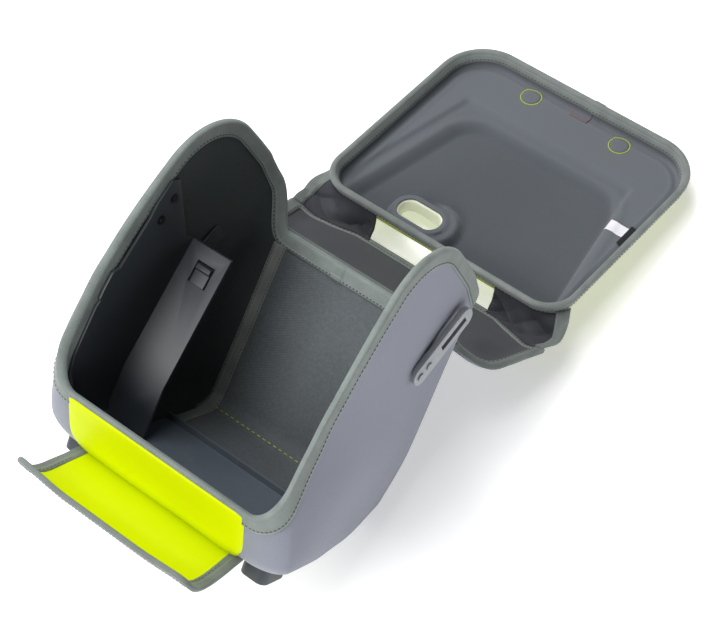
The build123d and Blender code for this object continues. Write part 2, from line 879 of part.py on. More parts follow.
# Where the two moving seams turn. The lid's axis is worked out so that the lid lies
# on the rim when the cap is shut.
closed_far = meet(
    (shifted((rim_bend_y, rim_bend_z), unit(closed_slope + 90), closed_clearance), unit(closed_slope)),
    ((0, closed_far_z), (1, 0)),
)
closed_near = shifted(closed_far, unit(closed_slope), lid_length)
start_near = turned(closed_near, hinge, -cap_turn)
start_slope = 180 + closed_slope - cap_turn
rest_slope = body_tilt - lid_pitch
lid_turn = start_slope - rest_slope


def to_body(y, z):
    """Turn a point of the floor frame into the level body frame."""
    z = z - corner_z
    return y * math.cos(tilt) - z * math.sin(tilt), y * math.sin(tilt) + z * math.cos(tilt)


def turn_centre(start, finish, degrees):
    """The centre about which a turn by the given angle takes start to finish."""
    dy, dz = finish[0] - start[0], finish[1] - start[1]
    reach = 0.5 / math.tan(math.radians(degrees) / 2)
    return (start[0] + finish[0]) / 2 - dz * reach, (start[1] + finish[1]) / 2 + dy * reach


rest_near = to_body(*lid_point(0, 0))
lid_centre_body = turn_centre(rest_near, start_near, lid_turn)
flap_hinge = (flap_root_y, flap_high)

nodes = {}
for name, shape in body_nodes.items():
    nodes[name] = [tilted(s) for s in (shape if isinstance(shape, list) else [shape])]
for name, shape in flap_nodes.items():
    nodes[name] = [tilted(s) for s in (shape if isinstance(shape, list) else [shape])]
for name, shape in cap_nodes.items():
    nodes[name] = [opened(shape)]
nodes["bellows_right"] = [bellows(1)]
nodes["bellows_left"] = [bellows(-1)]
for name, shape in lid_nodes.items():
    nodes[name] = [laid(s) for s in (shape if isinstance(shape, list) else [shape])]

# The origin is under the middle of everything
low_y = min(s.bounding_box().min.Y for shapes in nodes.values() for s in shapes)
high_y = max(s.bounding_box().max.Y for shapes in nodes.values() for s in shapes)
centre_y = (low_y + high_y) / 2

for name, shapes in nodes.items():
    solids = [solid for shape in shapes for solid in shape.solids()]
    moved = [solid.moved(Pos(0, -centre_y, 0)) for solid in solids]
    result = moved[0] if len(moved) == 1 else Compound(children=moved)
    export_step(result, "parts/" + name + ".step")
    print(name, len(moved), round(sum(s.volume for s in moved) / 1000, 1))


def report(label, point):
    """Print a side view point of the floor frame, moved with the origin."""
    print(label, round(point[0] - centre_y, 2), round(point[1], 2))


report("corner", to_floor(0, 0))
report("cap axis", to_floor(*hinge))
report("lid axis", to_floor(*lid_centre_body))
report("flap axis", to_floor(*flap_hinge))
report("lid near", (lid_near_y, lid_near_z))
print("lid turn", round(lid_turn, 2), "cap turn", cap_turn, "centre y", round(centre_y, 3))
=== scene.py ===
"""The looks of an opened soft carry case, its cap, lid and closure flap.

Shapes are worked out in millimetres as grids of points and go into the model in metres.
The case body is drawn level, with its rear bottom corner at y = 0, z = 0, and is then
leaned back; the lid is drawn flat, a across, b from its near edge and c up from its rim.
"""

import math

import bmesh
import bpy
import numpy as np
from mathutils import Matrix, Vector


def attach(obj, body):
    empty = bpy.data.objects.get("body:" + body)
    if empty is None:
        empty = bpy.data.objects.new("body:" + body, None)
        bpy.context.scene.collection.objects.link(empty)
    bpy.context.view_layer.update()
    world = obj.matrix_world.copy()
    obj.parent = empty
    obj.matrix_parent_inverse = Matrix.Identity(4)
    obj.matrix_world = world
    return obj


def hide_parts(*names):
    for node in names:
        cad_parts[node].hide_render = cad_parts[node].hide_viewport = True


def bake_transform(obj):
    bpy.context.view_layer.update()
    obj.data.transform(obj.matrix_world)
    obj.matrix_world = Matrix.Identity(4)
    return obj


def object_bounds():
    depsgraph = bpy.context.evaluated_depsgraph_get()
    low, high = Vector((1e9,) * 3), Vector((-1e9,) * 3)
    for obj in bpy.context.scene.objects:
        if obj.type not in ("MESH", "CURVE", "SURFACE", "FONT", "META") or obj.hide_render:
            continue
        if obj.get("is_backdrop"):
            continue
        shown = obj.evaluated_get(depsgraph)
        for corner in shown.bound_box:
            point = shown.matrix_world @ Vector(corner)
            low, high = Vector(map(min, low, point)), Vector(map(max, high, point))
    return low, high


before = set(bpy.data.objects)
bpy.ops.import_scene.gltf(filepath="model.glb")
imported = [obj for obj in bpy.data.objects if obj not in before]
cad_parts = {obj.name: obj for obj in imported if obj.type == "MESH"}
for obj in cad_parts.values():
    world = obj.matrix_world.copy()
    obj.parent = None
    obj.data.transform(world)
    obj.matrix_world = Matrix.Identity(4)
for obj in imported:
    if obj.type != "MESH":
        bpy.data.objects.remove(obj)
cad_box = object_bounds()

# Attitude
body_tilt = math.radians(38.0)
body_y = -141.423
body_z = -7.388
lid_pitch = math.radians(7.0)
lid_y = 87.18
lid_z = 60.38

# Case body
base_depth = 186.0
front_height = 64.0
front_slope = 27.0 / 64.0
back_slope = math.tan(math.radians(10.6))
back_height = 182.0
half_width_back = 115.0
plan_taper = 12.0
ear_back_y = 30.0
side_crown = 2.5
side_swell = 15.0
heel_tuck = 6.0
base_sag = 7.0
side_rounding = 24.0
plan_size = np.array([121.0, 285.0])
toe_rounding = 20.0
heel_rounding = 18.8
shell_wall = 3.4
lining_wall = 5.0
lining_floor = 7.0
wall_middle = 2.5
rim_corners = [(-213.0, 64.0), (-191.5, 163.0), (-105.5, 329.0), (0.0, 256.0), (89.4, 153.4)]
rim_radii = [0.0, 150.0, 66.0, 60.0, 0.0]
tape_width = 13.0
tape_lift = 0.95

# Lid
lid_half = 144.0
lid_near = 3.5
lid_far = 251.5
near_corner = 33.0
far_corner = 50.0
lid_shift = -2.0
lid_depth = 31.0
lid_flare = 13.0
lid_wall = 4.6
lid_floor = -27.4
lid_shelf = 12.5
window_a = -43.0
window_b = 37.0
window_straight = 11.5
window_round = 13.0
magnet_a = 54.0
magnet_b = 229.0

# Cap, from its hinge to its far edge, and closure flap
cap_root = (0.11, 112.06)
cap_tip = (76.98, 25.82)
cap_length = 125.0
flap_length = 78.0
flap_root_half = 93.0
flap_tip_half = 100.0
flap_corner = 9.0
flap_skew = 7.0


# Materials

def tone(red, green, blue):
    """A screen colour, 0 to 255, as the linear colour a shader takes."""
    levels = np.array([red, green, blue]) / 255
    linear = np.where(levels <= 0.04045, levels / 12.92, ((levels + 0.055) / 1.055) ** 2.4)
    return (*linear.tolist(), 1.0)


class Value:
    """A socket of a finish. Arithmetic on it adds Math nodes."""

    def __init__(self, finish, socket):
        self.finish = finish
        self.socket = socket

    def calc(self, operation, *terms):
        return self.finish.node("Math", {"operation": operation}, dict(enumerate(terms)))

    def __add__(self, other):
        return self.calc("ADD", self, other)

    __radd__ = __add__

    def __sub__(self, other):
        return self.calc("SUBTRACT", self, other)

    def __rsub__(self, other):
        return self.calc("SUBTRACT", other, self)

    def __mul__(self, other):
        return self.calc("MULTIPLY", self, other)

    __rmul__ = __mul__

    def wave(self):
        return self.calc("SINE", self)

    def size(self):
        return self.calc("ABSOLUTE", self)

    def fade(self, low, high):
        """0 below low, 1 above high, and an even ramp between them."""
        values = {"Value": self, "From Min": low, "From Max": high}
        return self.finish.node("MapRange", {"clamp": True}, values)


class Finish:
    """One material: a Principled shader, and the one method its other nodes come from."""

    def __init__(self, **constants):
        self.material = bpy.data.materials.new("finish")
        self.material.use_nodes = True
        self.tree = self.material.node_tree
        self.tree.nodes.clear()
        self.shader = self.tree.nodes.new("ShaderNodeBsdfPrincipled")
        output = self.tree.nodes.new("ShaderNodeOutputMaterial")
        self.tree.links.new(self.shader.outputs[0], output.inputs[0])
        for key, constant in constants.items():
            socket = key.replace("_", " ").title().replace("Ior", "IOR")
            self.shader.inputs[socket].default_value = constant

    def node(self, kind, settings=None, values=None, out=0):
        """One node: its settings, then the values or links of its sockets; gives one output."""
        node = self.tree.nodes.new("ShaderNode" + kind)
        for key, setting in (settings or {}).items():
            setattr(node, key, setting)
        for key, value in (values or {}).items():
            if isinstance(value, Value):
                self.tree.links.new(value.socket, node.inputs[key])
            else:
                node.inputs[key].default_value = value
        return Value(self, node.outputs[out])

    def feed(self, **links):
        """Link values to the shader's sockets."""
        for key, value in links.items():
            self.tree.links.new(value.socket, self.shader.inputs[key.replace("_", " ").title()])

    def place(self):
        """The point on the object, in metres."""
        return self.node("TexCoord", out="Object")

    def length_axes(self):
        """The piece's own lengths, in metres: along its grid and across it."""
        uv = self.node("UVMap", {"uv_map": "weave"})
        return (self.node("SeparateXYZ", values={"Vector": uv}, out=axis) for axis in (0, 1))

    def lid_rise(self):
        """Height above the lid's rim in the lid's own frame, in metres."""
        point = self.place()
        y, z = (self.node("SeparateXYZ", values={"Vector": point}, out=axis) for axis in (1, 2))
        up = (z - lid_z / 1000) * math.cos(lid_pitch)
        return up + (y - lid_y / 1000) * math.sin(lid_pitch)

    def noise(self, point, scale, detail=2.0):
        """Soft cloudy noise, about 0.5, with its grains 1 / scale across."""
        return self.node("TexNoise", values={"Vector": point, "Scale": scale, "Detail": detail})

    def mix(self, mask, first, second):
        """First colour where the mask is 0, second where it is 1. A colour is a screen
        colour or a socket."""
        first, second = (c if isinstance(c, Value) else tone(*c) for c in (first, second))
        return self.node("Mix", {"data_type": "RGBA"}, {0: mask, 6: first, 7: second}, 2)

    def bump(self, height, strength, distance=0.0005):
        """A surface that rises and falls with height, in metres times distance."""
        values = {"Height": height, "Strength": strength, "Distance": distance}
        return self.node("Bump", values=values)


def woven(colour, shade, pitch, strength, roughness, sheen, patch, grain, painted_shelf_light=None, side_cloth_and_shade=None):
    """Cloth: over and under threads of one pitch, specks of thread colour, broad soft patches.

    The weave's height is the product of two sines, one along and one across the grid. On
    the lid, what stands up from its floor is painted paler, towards the painted_shelf_light
    colour: painted light on the shelf and painted shade in the sunk middle. Outside the case's
    seam tapes the lining is another, darker cloth, of the side_cloth_and_shade colour, its
    darkness partly that cloth and partly painted shade on the side walls.
    """
    finish = Finish(sheen_weight=sheen, sheen_roughness=0.6, specular_ior_level=0.2)
    along, across = finish.length_axes()
    turns = 2 * math.pi / pitch
    weave = (along * turns).wave() * (across * turns).wave()
    point = finish.place()
    specks = finish.noise(point, 0.9 / pitch, 1.0)
    patches = finish.noise(point, patch, 3.0)
    mask = (specks.fade(0.3, 0.7) * grain + patches.fade(0.35, 0.65) * (1 - grain)).fade(0.0, 1.0)
    colour_mix = finish.mix(mask, colour, shade)
    if painted_shelf_light:
        # painted light: the lid floor is paler the higher it stands, so the shelf reads lit and the
        # sunk middle shaded
        colour_mix = finish.mix(finish.lid_rise().fade(-0.0265, -0.0155) * 0.7, colour_mix, painted_shelf_light)
    if side_cloth_and_shade:
        # side lining darker beyond the seam tapes: partly another cloth, partly painted shade
        off_centre = finish.node("SeparateXYZ", values={"Vector": point}).size()
        colour_mix = finish.mix(off_centre.fade(0.0875, 0.0885), colour_mix, side_cloth_and_shade)
    height = weave * 0.5 + specks
    finish.feed(base_color=colour_mix, normal=finish.bump(height, strength))
    finish.feed(roughness=specks * 0.12 + (roughness - 0.06))
    return finish


def ribbed(colour, shade, seam, pitch, width):
    """Binding tape: ribs across it, a paler crease near each edge, dark needle holes.

    Across the tape, seam is where the stitch line runs, from each long edge.
    """
    finish = Finish(roughness=0.72, sheen_weight=0.2, sheen_roughness=0.5)
    along, across = finish.length_axes()
    rib = (along * (2 * math.pi / pitch)).wave()
    twill = (along * (2 * math.pi / pitch) + across * 3200.0).wave()
    point = finish.place()
    cloud = finish.noise(point, 55.0, 4.0)
    specks = finish.noise(point, 900.0, 1.0)
    from_edge = width / 2 - (across - width / 2).size()
    crease = 1 - (from_edge - seam).size().fade(0.0, 0.0011)
    base = finish.mix(cloud.fade(0.32, 0.68), colour, shade)
    worn = finish.mix(crease * 0.4 + specks.fade(0.55, 0.8) * 0.3, base, (150, 158, 154))
    height = rib * 0.35 + twill * 0.35 + specks * 0.6 - crease * 0.8
    finish.feed(base_color=worn, normal=finish.bump(height, 0.45, 0.0006))
    return finish


def moulded(colour, worn, roughness, grain, strength):
    """Moulded plastic: fine spark texture, faint cloudy gloss, paler scuffs."""
    finish = Finish(specular_ior_level=0.45)
    point = finish.place()
    fine = finish.noise(point, grain, 2.0)
    broad = finish.noise(point, 14.0, 3.0)
    scuff = finish.noise(point, 160.0, 5.0).fade(0.62, 0.8)
    finish.feed(base_color=finish.mix(scuff * 0.5 + broad.fade(0.4, 0.8) * 0.2, colour, worn))
    finish.feed(roughness=broad * 0.14 + (roughness - 0.07), normal=finish.bump(fine, strength))
    return finish


def thread(colour, shade):
    """Twisted sewing thread: slanting strands along each stitch."""
    finish = Finish(roughness=0.5, sheen_weight=0.2)
    values = {"Vector": finish.place(), "Scale": 700.0, "Distortion": 1.5}
    strand = finish.node("TexWave", values=values, out=1)
    finish.feed(base_color=finish.mix(strand, colour, shade), normal=finish.bump(strand, 0.3))
    return finish


def coated(colour, shade):
    """Coated cloth: a smooth skin over a faint weave, with soft dents and a low gloss."""
    finish = Finish(specular_ior_level=0.08, coat_roughness=0.35)
    along, across = finish.length_axes()
    weave = (along * 5200.0).wave() * (across * 5200.0).wave()
    point = finish.place()
    dents = finish.noise(point, 26.0, 2.0)
    cloud = finish.noise(point, 12.0, 3.0)
    specks = finish.noise(point, 1500.0, 1.0)
    finish.feed(base_color=finish.mix(cloud.fade(0.3, 0.7) * 0.8, colour, shade))
    height = weave * 0.08 + dents * 3.0 + specks * 0.2
    finish.feed(roughness=cloud * 0.15 + 0.36, normal=finish.bump(height, 0.35))
    return finish


finishes = {
    "outer_fabric": woven((130, 134, 147), (119, 123, 136), 0.0011, 0.25, 0.78, 0.25, 7.0, 0.45),
    "lime_fabric": coated((206, 220, 0), (198, 213, 0)),
    "outer_lid_fabric": coated((158, 172, 20), (146, 160, 16)),
    # the side walls' darker colour below is partly another cloth and partly painted shade
    "lining_fabric": woven(
        (91, 96, 99), (78, 83, 86), 0.0026, 0.4, 0.82, 0.06, 10.0, 0.6, side_cloth_and_shade=(54, 59, 60),
    ),
    # the paler colour given for the lid floor's raised parts is painted light
    "lid_lining_fabric": woven(
        (77, 82, 88), (69, 74, 80), 0.0010, 0.25, 0.74, 0.2, 8.0, 0.5, painted_shelf_light=(99, 104, 110),
    ),
    # a darker copy of the lid lining's colour: painted shade on the cap lining
    "cap_lining_fabric": woven((58, 61, 67), (51, 54, 60), 0.0010, 0.25, 0.7, 0.2, 12.0, 0.5),
    "bellows_fabric": woven((46, 48, 55), (32, 34, 40), 0.0008, 0.2, 0.5, 0.2, 16.0, 0.4),
    "label_fabric": woven((226, 224, 230), (210, 208, 216), 0.0007, 0.15, 0.7, 0.1, 60.0, 0.5),
    "tag_fabric": woven((38, 40, 44), (26, 28, 32), 0.0007, 0.2, 0.7, 0.1, 60.0, 0.5),
    "edge_cord": woven((104, 111, 108), (88, 95, 92), 0.0008, 0.3, 0.7, 0.1, 40.0, 0.5),
    "binding_tape": ribbed((122, 131, 128), (108, 117, 114), 0.0022, 0.0016, 0.036),
    "narrow_tape": ribbed((112, 120, 116), (98, 105, 102), 0.0022, 0.0015, 0.0272),
    "lid_tape": ribbed((122, 129, 127), (108, 115, 113), 0.0024, 0.0016, 0.0291),
    "seam_tape": ribbed((118, 123, 118), (104, 109, 105), 0.0018, 0.0013, 0.0135),
    "lime_thread": thread((206, 226, 40), (170, 196, 30)),
    "orange_thread": thread((186, 92, 52), (150, 70, 40)),
    "dark_thread": thread((44, 48, 48), (28, 31, 32)),
    "grey_thread": thread((84, 92, 90), (64, 70, 69)),
    "bracket_plastic": moulded((40, 44, 49), (54, 59, 65), 0.45, 1400.0, 0.06),
    "plate_plastic": moulded((78, 86, 95), (100, 108, 116), 0.48, 900.0, 0.12),
    "foot_plastic": moulded((54, 60, 65), (78, 84, 90), 0.5, 1100.0, 0.1),
    "clip_plastic": moulded((142, 145, 151), (160, 163, 168), 0.42, 1200.0, 0.08),
    "window_plastic": moulded((226, 230, 206), (240, 240, 226), 0.35, 700.0, 0.05),
    "bumper_rubber": moulded((46, 50, 54), (64, 68, 72), 0.65, 800.0, 0.2),
    "screw_steel": moulded((40, 40, 44), (90, 90, 96), 0.3, 500.0, 0.1),
}
finishes["screw_steel"].shader.inputs["Metallic"].default_value = 0.8
for name, finish in finishes.items():
    finish.material.name = name

# Slots of the finishes that don't have one of their own name
slots = {
    "outer_lid_fabric": "lime_fabric", "narrow_tape": "binding_tape", "lid_tape": "binding_tape",
    "seam_tape": "binding_tape", "tag_fabric": "label_fabric", "plate_plastic": "bracket_plastic",
    "clip_plastic": "foot_plastic",
}


# Meshes

def surface(
    name, points, finish, body, loop=True, ring=False, caps=False, stands_for=(), swap=False,
    merge=False,
):
    """A grid of points, rows by columns in millimetres, made a mesh of quads.

    loop joins the last column to the first and ring the last row to the first; caps
    closes the first and last rows with one face each, and merge joins points that
    coincide. The UV map holds lengths along the grid in metres, across its rows first, or
    down its columns first with swap. Faces are turned so that the volume they close is
    positive.
    """
    points = np.asarray(points, float) / 1000
    rows, columns = points.shape[:2]
    i = np.arange(rows if ring else rows - 1)[:, None]
    j = np.arange(columns if loop else columns - 1)[None, :]
    steps = np.linalg.norm(np.roll(points, -1, 1) - points, axis=2)
    u = np.concatenate([[0], np.cumsum(steps[np.argmax(steps.sum(1))])])
    rises = np.linalg.norm(np.roll(points, -1, 0) - points, axis=2)
    v = np.concatenate([np.zeros((1, columns)), np.cumsum(rises, 0)])
    quads, uvs = [], []
    for down, right in ((0, 0), (0, 1), (1, 1), (1, 0)):
        quads.append(((i + down) % rows) * columns + (j + right) % columns)
        pair = [u[j + right] + 0 * v[i, j], v[i + down, (j + right) % columns]]
        uvs.append(np.stack(pair[::-1] if swap else pair, -1))
    quads = np.stack(quads, -1).reshape(-1, 4)
    uvs = np.stack(uvs, -2).reshape(-1, 4, 2)
    flat = points.reshape(-1, 3)
    a, b, c, d = (flat[quads[:, k]] for k in range(4))
    volume = (np.cross(b, c) * a).sum() + (np.cross(c, d) * a).sum()
    ends = []
    if caps:
        ends = [np.arange(columns)[::-1], np.arange(columns) + (rows - 1) * columns]
        for end in ends:
            fan = flat[end]
            volume += (np.cross(fan[1:-1], fan[2:]) * fan[0]).sum()
    if volume < 0:
        quads, uvs = quads[:, ::-1], uvs[:, ::-1]
        ends = [end[::-1] for end in ends]
    mesh = bpy.data.meshes.new(name)
    mesh.from_pydata(flat.tolist(), [], quads.tolist() + [end.tolist() for end in ends])
    layer = mesh.uv_layers.new(name="weave")
    maps = [uvs.reshape(-1, 2)] + [flat[end][:, :2] for end in ends]
    layer.data.foreach_set("uv", np.concatenate(maps).astype(np.float32).ravel())
    if merge:
        work = bmesh.new()
        work.from_mesh(mesh)
        bmesh.ops.remove_doubles(work, verts=work.verts, dist=1e-6)
        work.to_mesh(mesh)
        work.free()
    return put(name, mesh, finish, body, stands_for)


def put(name, mesh, finish, body, stands_for=(), smooth=True):
    """Make a mesh a piece of the object: its finish, its body, and the nodes it stands for,
    which it hides."""
    mesh.polygons.foreach_set("use_smooth", np.full(len(mesh.polygons), smooth))
    mesh.materials.clear()
    mesh.materials.append(finishes[finish].material)
    mesh.validate()
    mesh.update()
    piece = bpy.data.objects.new(name, mesh)
    bpy.context.scene.collection.objects.link(piece)
    if body:
        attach(piece, body)
    if stands_for:
        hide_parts(*stands_for)
        slots.get(finish, finish)
    return piece


def joined(name, parts, finish, body, stands_for):
    """Several pieces of one finish made one object."""
    work = bmesh.new()
    for part in parts:
        work.from_mesh(part.data)
    mesh = bpy.data.meshes.new(name)
    work.to_mesh(mesh)
    work.free()
    for part in parts:
        bpy.data.objects.remove(part)
    return put(name, mesh, finish, body, stands_for)


def softened(node, finish, width):
    """A hard piece: the CAD faces merged, flat ones joined, and its edges rounded."""
    work = bmesh.new()
    work.from_mesh(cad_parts[node].data)
    bmesh.ops.remove_doubles(work, verts=work.verts, dist=2e-6)
    bmesh.ops.dissolve_limit(work, angle_limit=0.01, verts=work.verts, edges=work.edges)
    mesh = bpy.data.meshes.new(node + "_moulded")
    work.to_mesh(mesh)
    work.free()
    piece = put(node + "_moulded", mesh, finish, "case", (node,))
    bevel = piece.modifiers.new("soft_edges", "BEVEL")
    bevel.width = width / 1000
    bevel.segments = 3
    bevel.limit_method = "ANGLE"
    bevel.angle_limit = math.radians(30.0)
    bevel.harden_normals = True
    return piece


def stitches(name, points, forward, up, finish, body, length, radius):
    """Sewn thread: at each point a bead stretched along forward, its rings given by
    share along it and share of its radius."""
    reach = np.array([-1.0, -0.65, 0.65, 1.0]) * length / 2
    girth = np.array([0.35, 1.0, 1.0, 0.35]) * radius
    turn = np.arange(6) * math.pi / 3
    forward, up = unit(forward), unit(up)
    side = np.cross(forward, up)
    spokes = side[:, None, :] * np.cos(turn)[:, None] + up[:, None, :] * np.sin(turn)[:, None]
    beads = points[:, None, None, :] + forward[:, None, None, :] * reach[:, None, None]
    beads = beads + spokes[:, None, :, :] * girth[:, None, None]
    i, j = np.meshgrid(np.arange(3), np.arange(6), indexing="ij")
    low, high, beside = i * 6, (i + 1) * 6, (j + 1) % 6
    quads = np.stack([low + j, high + j, high + beside, low + beside], -1).reshape(-1, 4)
    tips = np.array([[5, 4, 3, 2, 1, 0], [18, 19, 20, 21, 22, 23]])
    starts = np.arange(len(points)) * 24
    a, b, c = (beads.reshape(len(points), 24, 3)[:, quads[:, k]] for k in range(3))
    if (np.cross(b - a, c - a) * (a - points[:, None, :])).sum() < 0:
        quads = quads[:, ::-1]
    else:
        tips = tips[:, ::-1]
    faces = (quads[None] + starts[:, None, None]).reshape(-1, 4).tolist()
    faces += (tips[None] + starts[:, None, None]).reshape(-1, 6).tolist()
    mesh = bpy.data.meshes.new(name)
    mesh.from_pydata((beads.reshape(-1, 3) / 1000).tolist(), [], faces)
    return put(name, mesh, finish, body)


# Shapes

def unit(vectors):
    """Vectors made one long."""
    return vectors / np.maximum(np.linalg.norm(vectors, axis=-1, keepdims=True), 1e-9)


def smooth(share):
    """A share from 0 to 1 that starts and ends level."""
    share = np.clip(share, 0, 1)
    return share * share * (3 - 2 * share)


def half_wave(share):
    """The half wave of a sine over a share from 0 to 1."""
    return np.sin(math.pi * np.clip(share, 0, 1))


def hump(distance, width):
    """1 at no distance, falling smoothly to 0 at width."""
    return smooth(1 - np.abs(distance) / width)


def lengths(path):
    """The length along a path up to each of its points."""
    return np.concatenate([[0], np.cumsum(np.linalg.norm(np.diff(path, axis=0), axis=1))])


def sample(at, run, values):
    """Rows of values, known at the lengths run, at other lengths."""
    return np.stack([np.interp(at, run, column) for column in values.T], -1)


def facing(grid):
    """Which way each point of a grid of points faces."""
    return unit(np.cross(np.gradient(grid, axis=1), np.gradient(grid, axis=0)))


def stitch_line(
    name, line, away, finish, body, pitch=4.0, length=2.3, radius=0.42, closed=False
):
    """Stitches at an even pitch along a line, with the direction away from the cloth."""
    if closed:
        line, away = (np.concatenate([each, each[:1]]) for each in (line, away))
    run = lengths(line)
    count = max(int(round(run[-1] / pitch)), 2)
    at = (np.arange(count) + 0.5) * run[-1] / count
    points, up = sample(at, run, line), sample(at, run, away)
    forward = sample(at + 0.5, run, line) - sample(at - 0.5, run, line)
    return stitches(name, points, forward, up, finish, body, length, radius)


def rounded_path(corners, radii):
    """A side view path through corners, each cut by an arc of its radius."""
    corners = np.array(corners, float)
    path = [corners[:1]]
    for before, corner, after, radius in zip(corners, corners[1:], corners[2:], radii[1:]):
        back, on = unit(before - corner), unit(after - corner)
        half = math.acos(np.clip(back @ on, -1, 1)) / 2
        cut = radius / math.tan(half)
        start, end = corner + back * cut, corner + on * cut
        centre = corner + unit(back + on) * radius / math.sin(half)
        share = np.linspace(0, 1, int(radius / 1.5) + 8)[:, None]
        path.append(centre + unit(start + (end - start) * share - centre) * radius)
    path.append(corners[-1:])
    return np.concatenate(path)


def leaned(points):
    """From the level case frame to the floor frame."""
    x, y, z = points[..., 0], points[..., 1], points[..., 2]
    cos, sin = math.cos(body_tilt), math.sin(body_tilt)
    return np.stack([x, y * cos + z * sin + body_y, z * cos - y * sin + body_z], -1)


def laid(points):
    """From the flat lid frame to the floor frame."""
    a, b, c = points[..., 0], points[..., 1], points[..., 2]
    cos, sin = math.cos(lid_pitch), math.sin(lid_pitch)
    return np.stack([a + lid_shift, lid_y + b * cos + c * sin, lid_z - b * sin + c * cos], -1)


# Case body

def plan_loop(corner_p, corner_q):
    """Closed loop round the case from the middle of its front towards +x.

    p runs from -1 to 1 across and q from 0 at the front to 1 at the back. Its corners
    are quarter ellipses, and it is stepped evenly on a plan of the mean size.
    """
    turn = np.linspace(0, math.pi / 2, 90)
    rise, fall = 1 - np.cos(turn), 1 - np.sin(turn)
    p = [0, *(1 - corner_p * fall), *(1 - corner_p * rise), 0]
    q = [0, *(corner_q * rise), *(1 - corner_q * fall), 1]
    half = np.stack([p, q], -1)
    loop = np.concatenate([half, half[-2::-1] * np.array([-1, 1])])
    run = lengths(loop * plan_size)
    return sample(np.linspace(0, run[-1], 6001), run, loop).T


loop_p, loop_q = plan_loop(0.19, 0.095)
loop_t = np.linspace(0, 1, len(loop_p))


def plan(t):
    """The loop's p and q at a share t of the way round."""
    return np.interp(t % 1, loop_t, loop_p), np.interp(t % 1, loop_t, loop_q)


rim_side = rounded_path(rim_corners, rim_radii)
rim_front = -base_depth - front_slope * rim_side[:, 1]
rim_q = (rim_side[:, 0] - rim_front) / (back_slope * rim_side[:, 1] - rim_front)


def rim_height(t):
    """Height of the rim: the ears' side outline, and at the back a smooth fall to the
    back wall's height between them."""
    p, q = plan(t)
    ear = np.interp(q, rim_q, rim_side[:, 1])
    rise = smooth((np.abs(p) - 0.81) / 0.18)
    return np.where(q > 0.6, back_height + (ear - back_height) * rise, ear)


def wall(p, q, z, inset, inset_y=None, padding=0.0):
    """A point of the case wall. The front and back leaning lines give the depth at z, the
    plan narrows to the back, and the side walls swell by the product of two half waves and
    draw in towards the heel by the product of two smooth steps. The padded outside swells
    further, most low down and near the front, by two more half waves over a power of how
    far up to the rim and how far back a point is, and it sags under the middle of its
    base."""
    inset_y = inset if inset_y is None else inset_y
    front = -base_depth - front_slope * z + inset_y * 1.085
    back = back_slope * z - inset_y * 1.017
    y = front + q * (back - front)
    half = half_width_back + plan_taper * (ear_back_y - y) / (ear_back_y + base_depth) - inset
    up = np.clip(z / np.interp(q, rim_q, rim_side[:, 1]), 0, 1) ** 0.6
    belly = half_wave(up) * half_wave(np.clip(q, 0, 1) ** 0.45) * smooth((205 - z) / 120)
    tuck = smooth((q - 0.55) / 0.42) * smooth((80 - z) / 76)
    swell = side_crown * half_wave(q) * half_wave(z / 270) - heel_tuck * tuck
    swell = swell + padding * side_swell * belly
    sag = smooth((q - 0.1) / 0.3) * smooth((0.98 - q) / 0.32) * smooth((75 - z) / 75)
    sag = padding * base_sag * sag
    return np.stack([p * (half + swell), y, z - sag + 0 * y], -1)


def skin(t, z, inset=wall_middle, padding=0.0):
    """A point of the wall at a share of the way round and a height."""
    return wall(*plan(t), z, inset, None, padding)


def even_columns(count):
    """Shares round the loop whose steps along the rim are even."""
    t = np.linspace(0, 1, 6001)
    run = lengths(skin(t, rim_height(t)))
    return np.interp(np.arange(count) / count * run[-1], run, t)


def tub(t, inset, floor, base_rows, bend_rows, wall_rows, padding=0.0):
    """One skin of the case, rows from the middle of its base out, round the bottom edge
    and up to the rim. The bottom edge is a quarter ellipse, wider under the side walls."""
    p, q = plan(t)
    near_p, near_q = plan(t + 0.002)
    far_p, far_q = plan(t - 0.002)
    run_x, run_y = (near_p - far_p) * plan_size[0], (near_q - far_q) * plan_size[1]
    side = run_y**2 / (run_x**2 + run_y**2)
    round_x = side_rounding - inset
    round_y = toe_rounding + (heel_rounding - toe_rounding) * smooth(q) - inset
    round_z = round_y + (round_x - round_y) * side
    rows = []
    for share in np.linspace(0.02, 1, base_rows):
        flat = p * share, 0.5 + (q - 0.5) * share, floor + 0 * q
        rows.append(wall(*flat, inset + round_x, inset + round_y, padding))
    for angle in np.linspace(0, math.pi / 2, bend_rows + 1)[1:]:
        draw = 1 - math.sin(angle)
        height = floor + round_z * (1 - math.cos(angle))
        rows.append(wall(p, q, height, inset + round_x * draw, inset + round_y * draw, padding))
    bend_top, rim = floor + round_z, rim_height(t)
    for share in np.linspace(0, 1, wall_rows + 1)[1:]:
        rows.append(wall(p, q, bend_top + (rim - bend_top) * share, inset, None, padding))
    return np.stack(rows)


columns = even_columns(460)
outside = tub(columns, 0, 0, 14, 10, 46, 1.0)
inside_shell = tub(columns, shell_wall, shell_wall, 4, 6, 20)
surface(
    "case_shell", leaned(np.concatenate([outside, inside_shell[::-1]])), "outer_fabric", "case",
    caps=True, stands_for=("side_shell_left", "side_shell_right", "base_shell", "back_shell"),
)
under = tub(columns, shell_wall + 0.1, shell_wall + 0.1, 4, 6, 20)
over = tub(columns, lining_wall, lining_floor, 14, 10, 46)
surface(
    "case_lining", leaned(np.concatenate([under, over[::-1]])), "lining_fabric", "case", caps=True,
    stands_for=(
        "side_lining_left", "side_lining_right", "floor_lining", "back_lining", "front_lining",
    ),
)


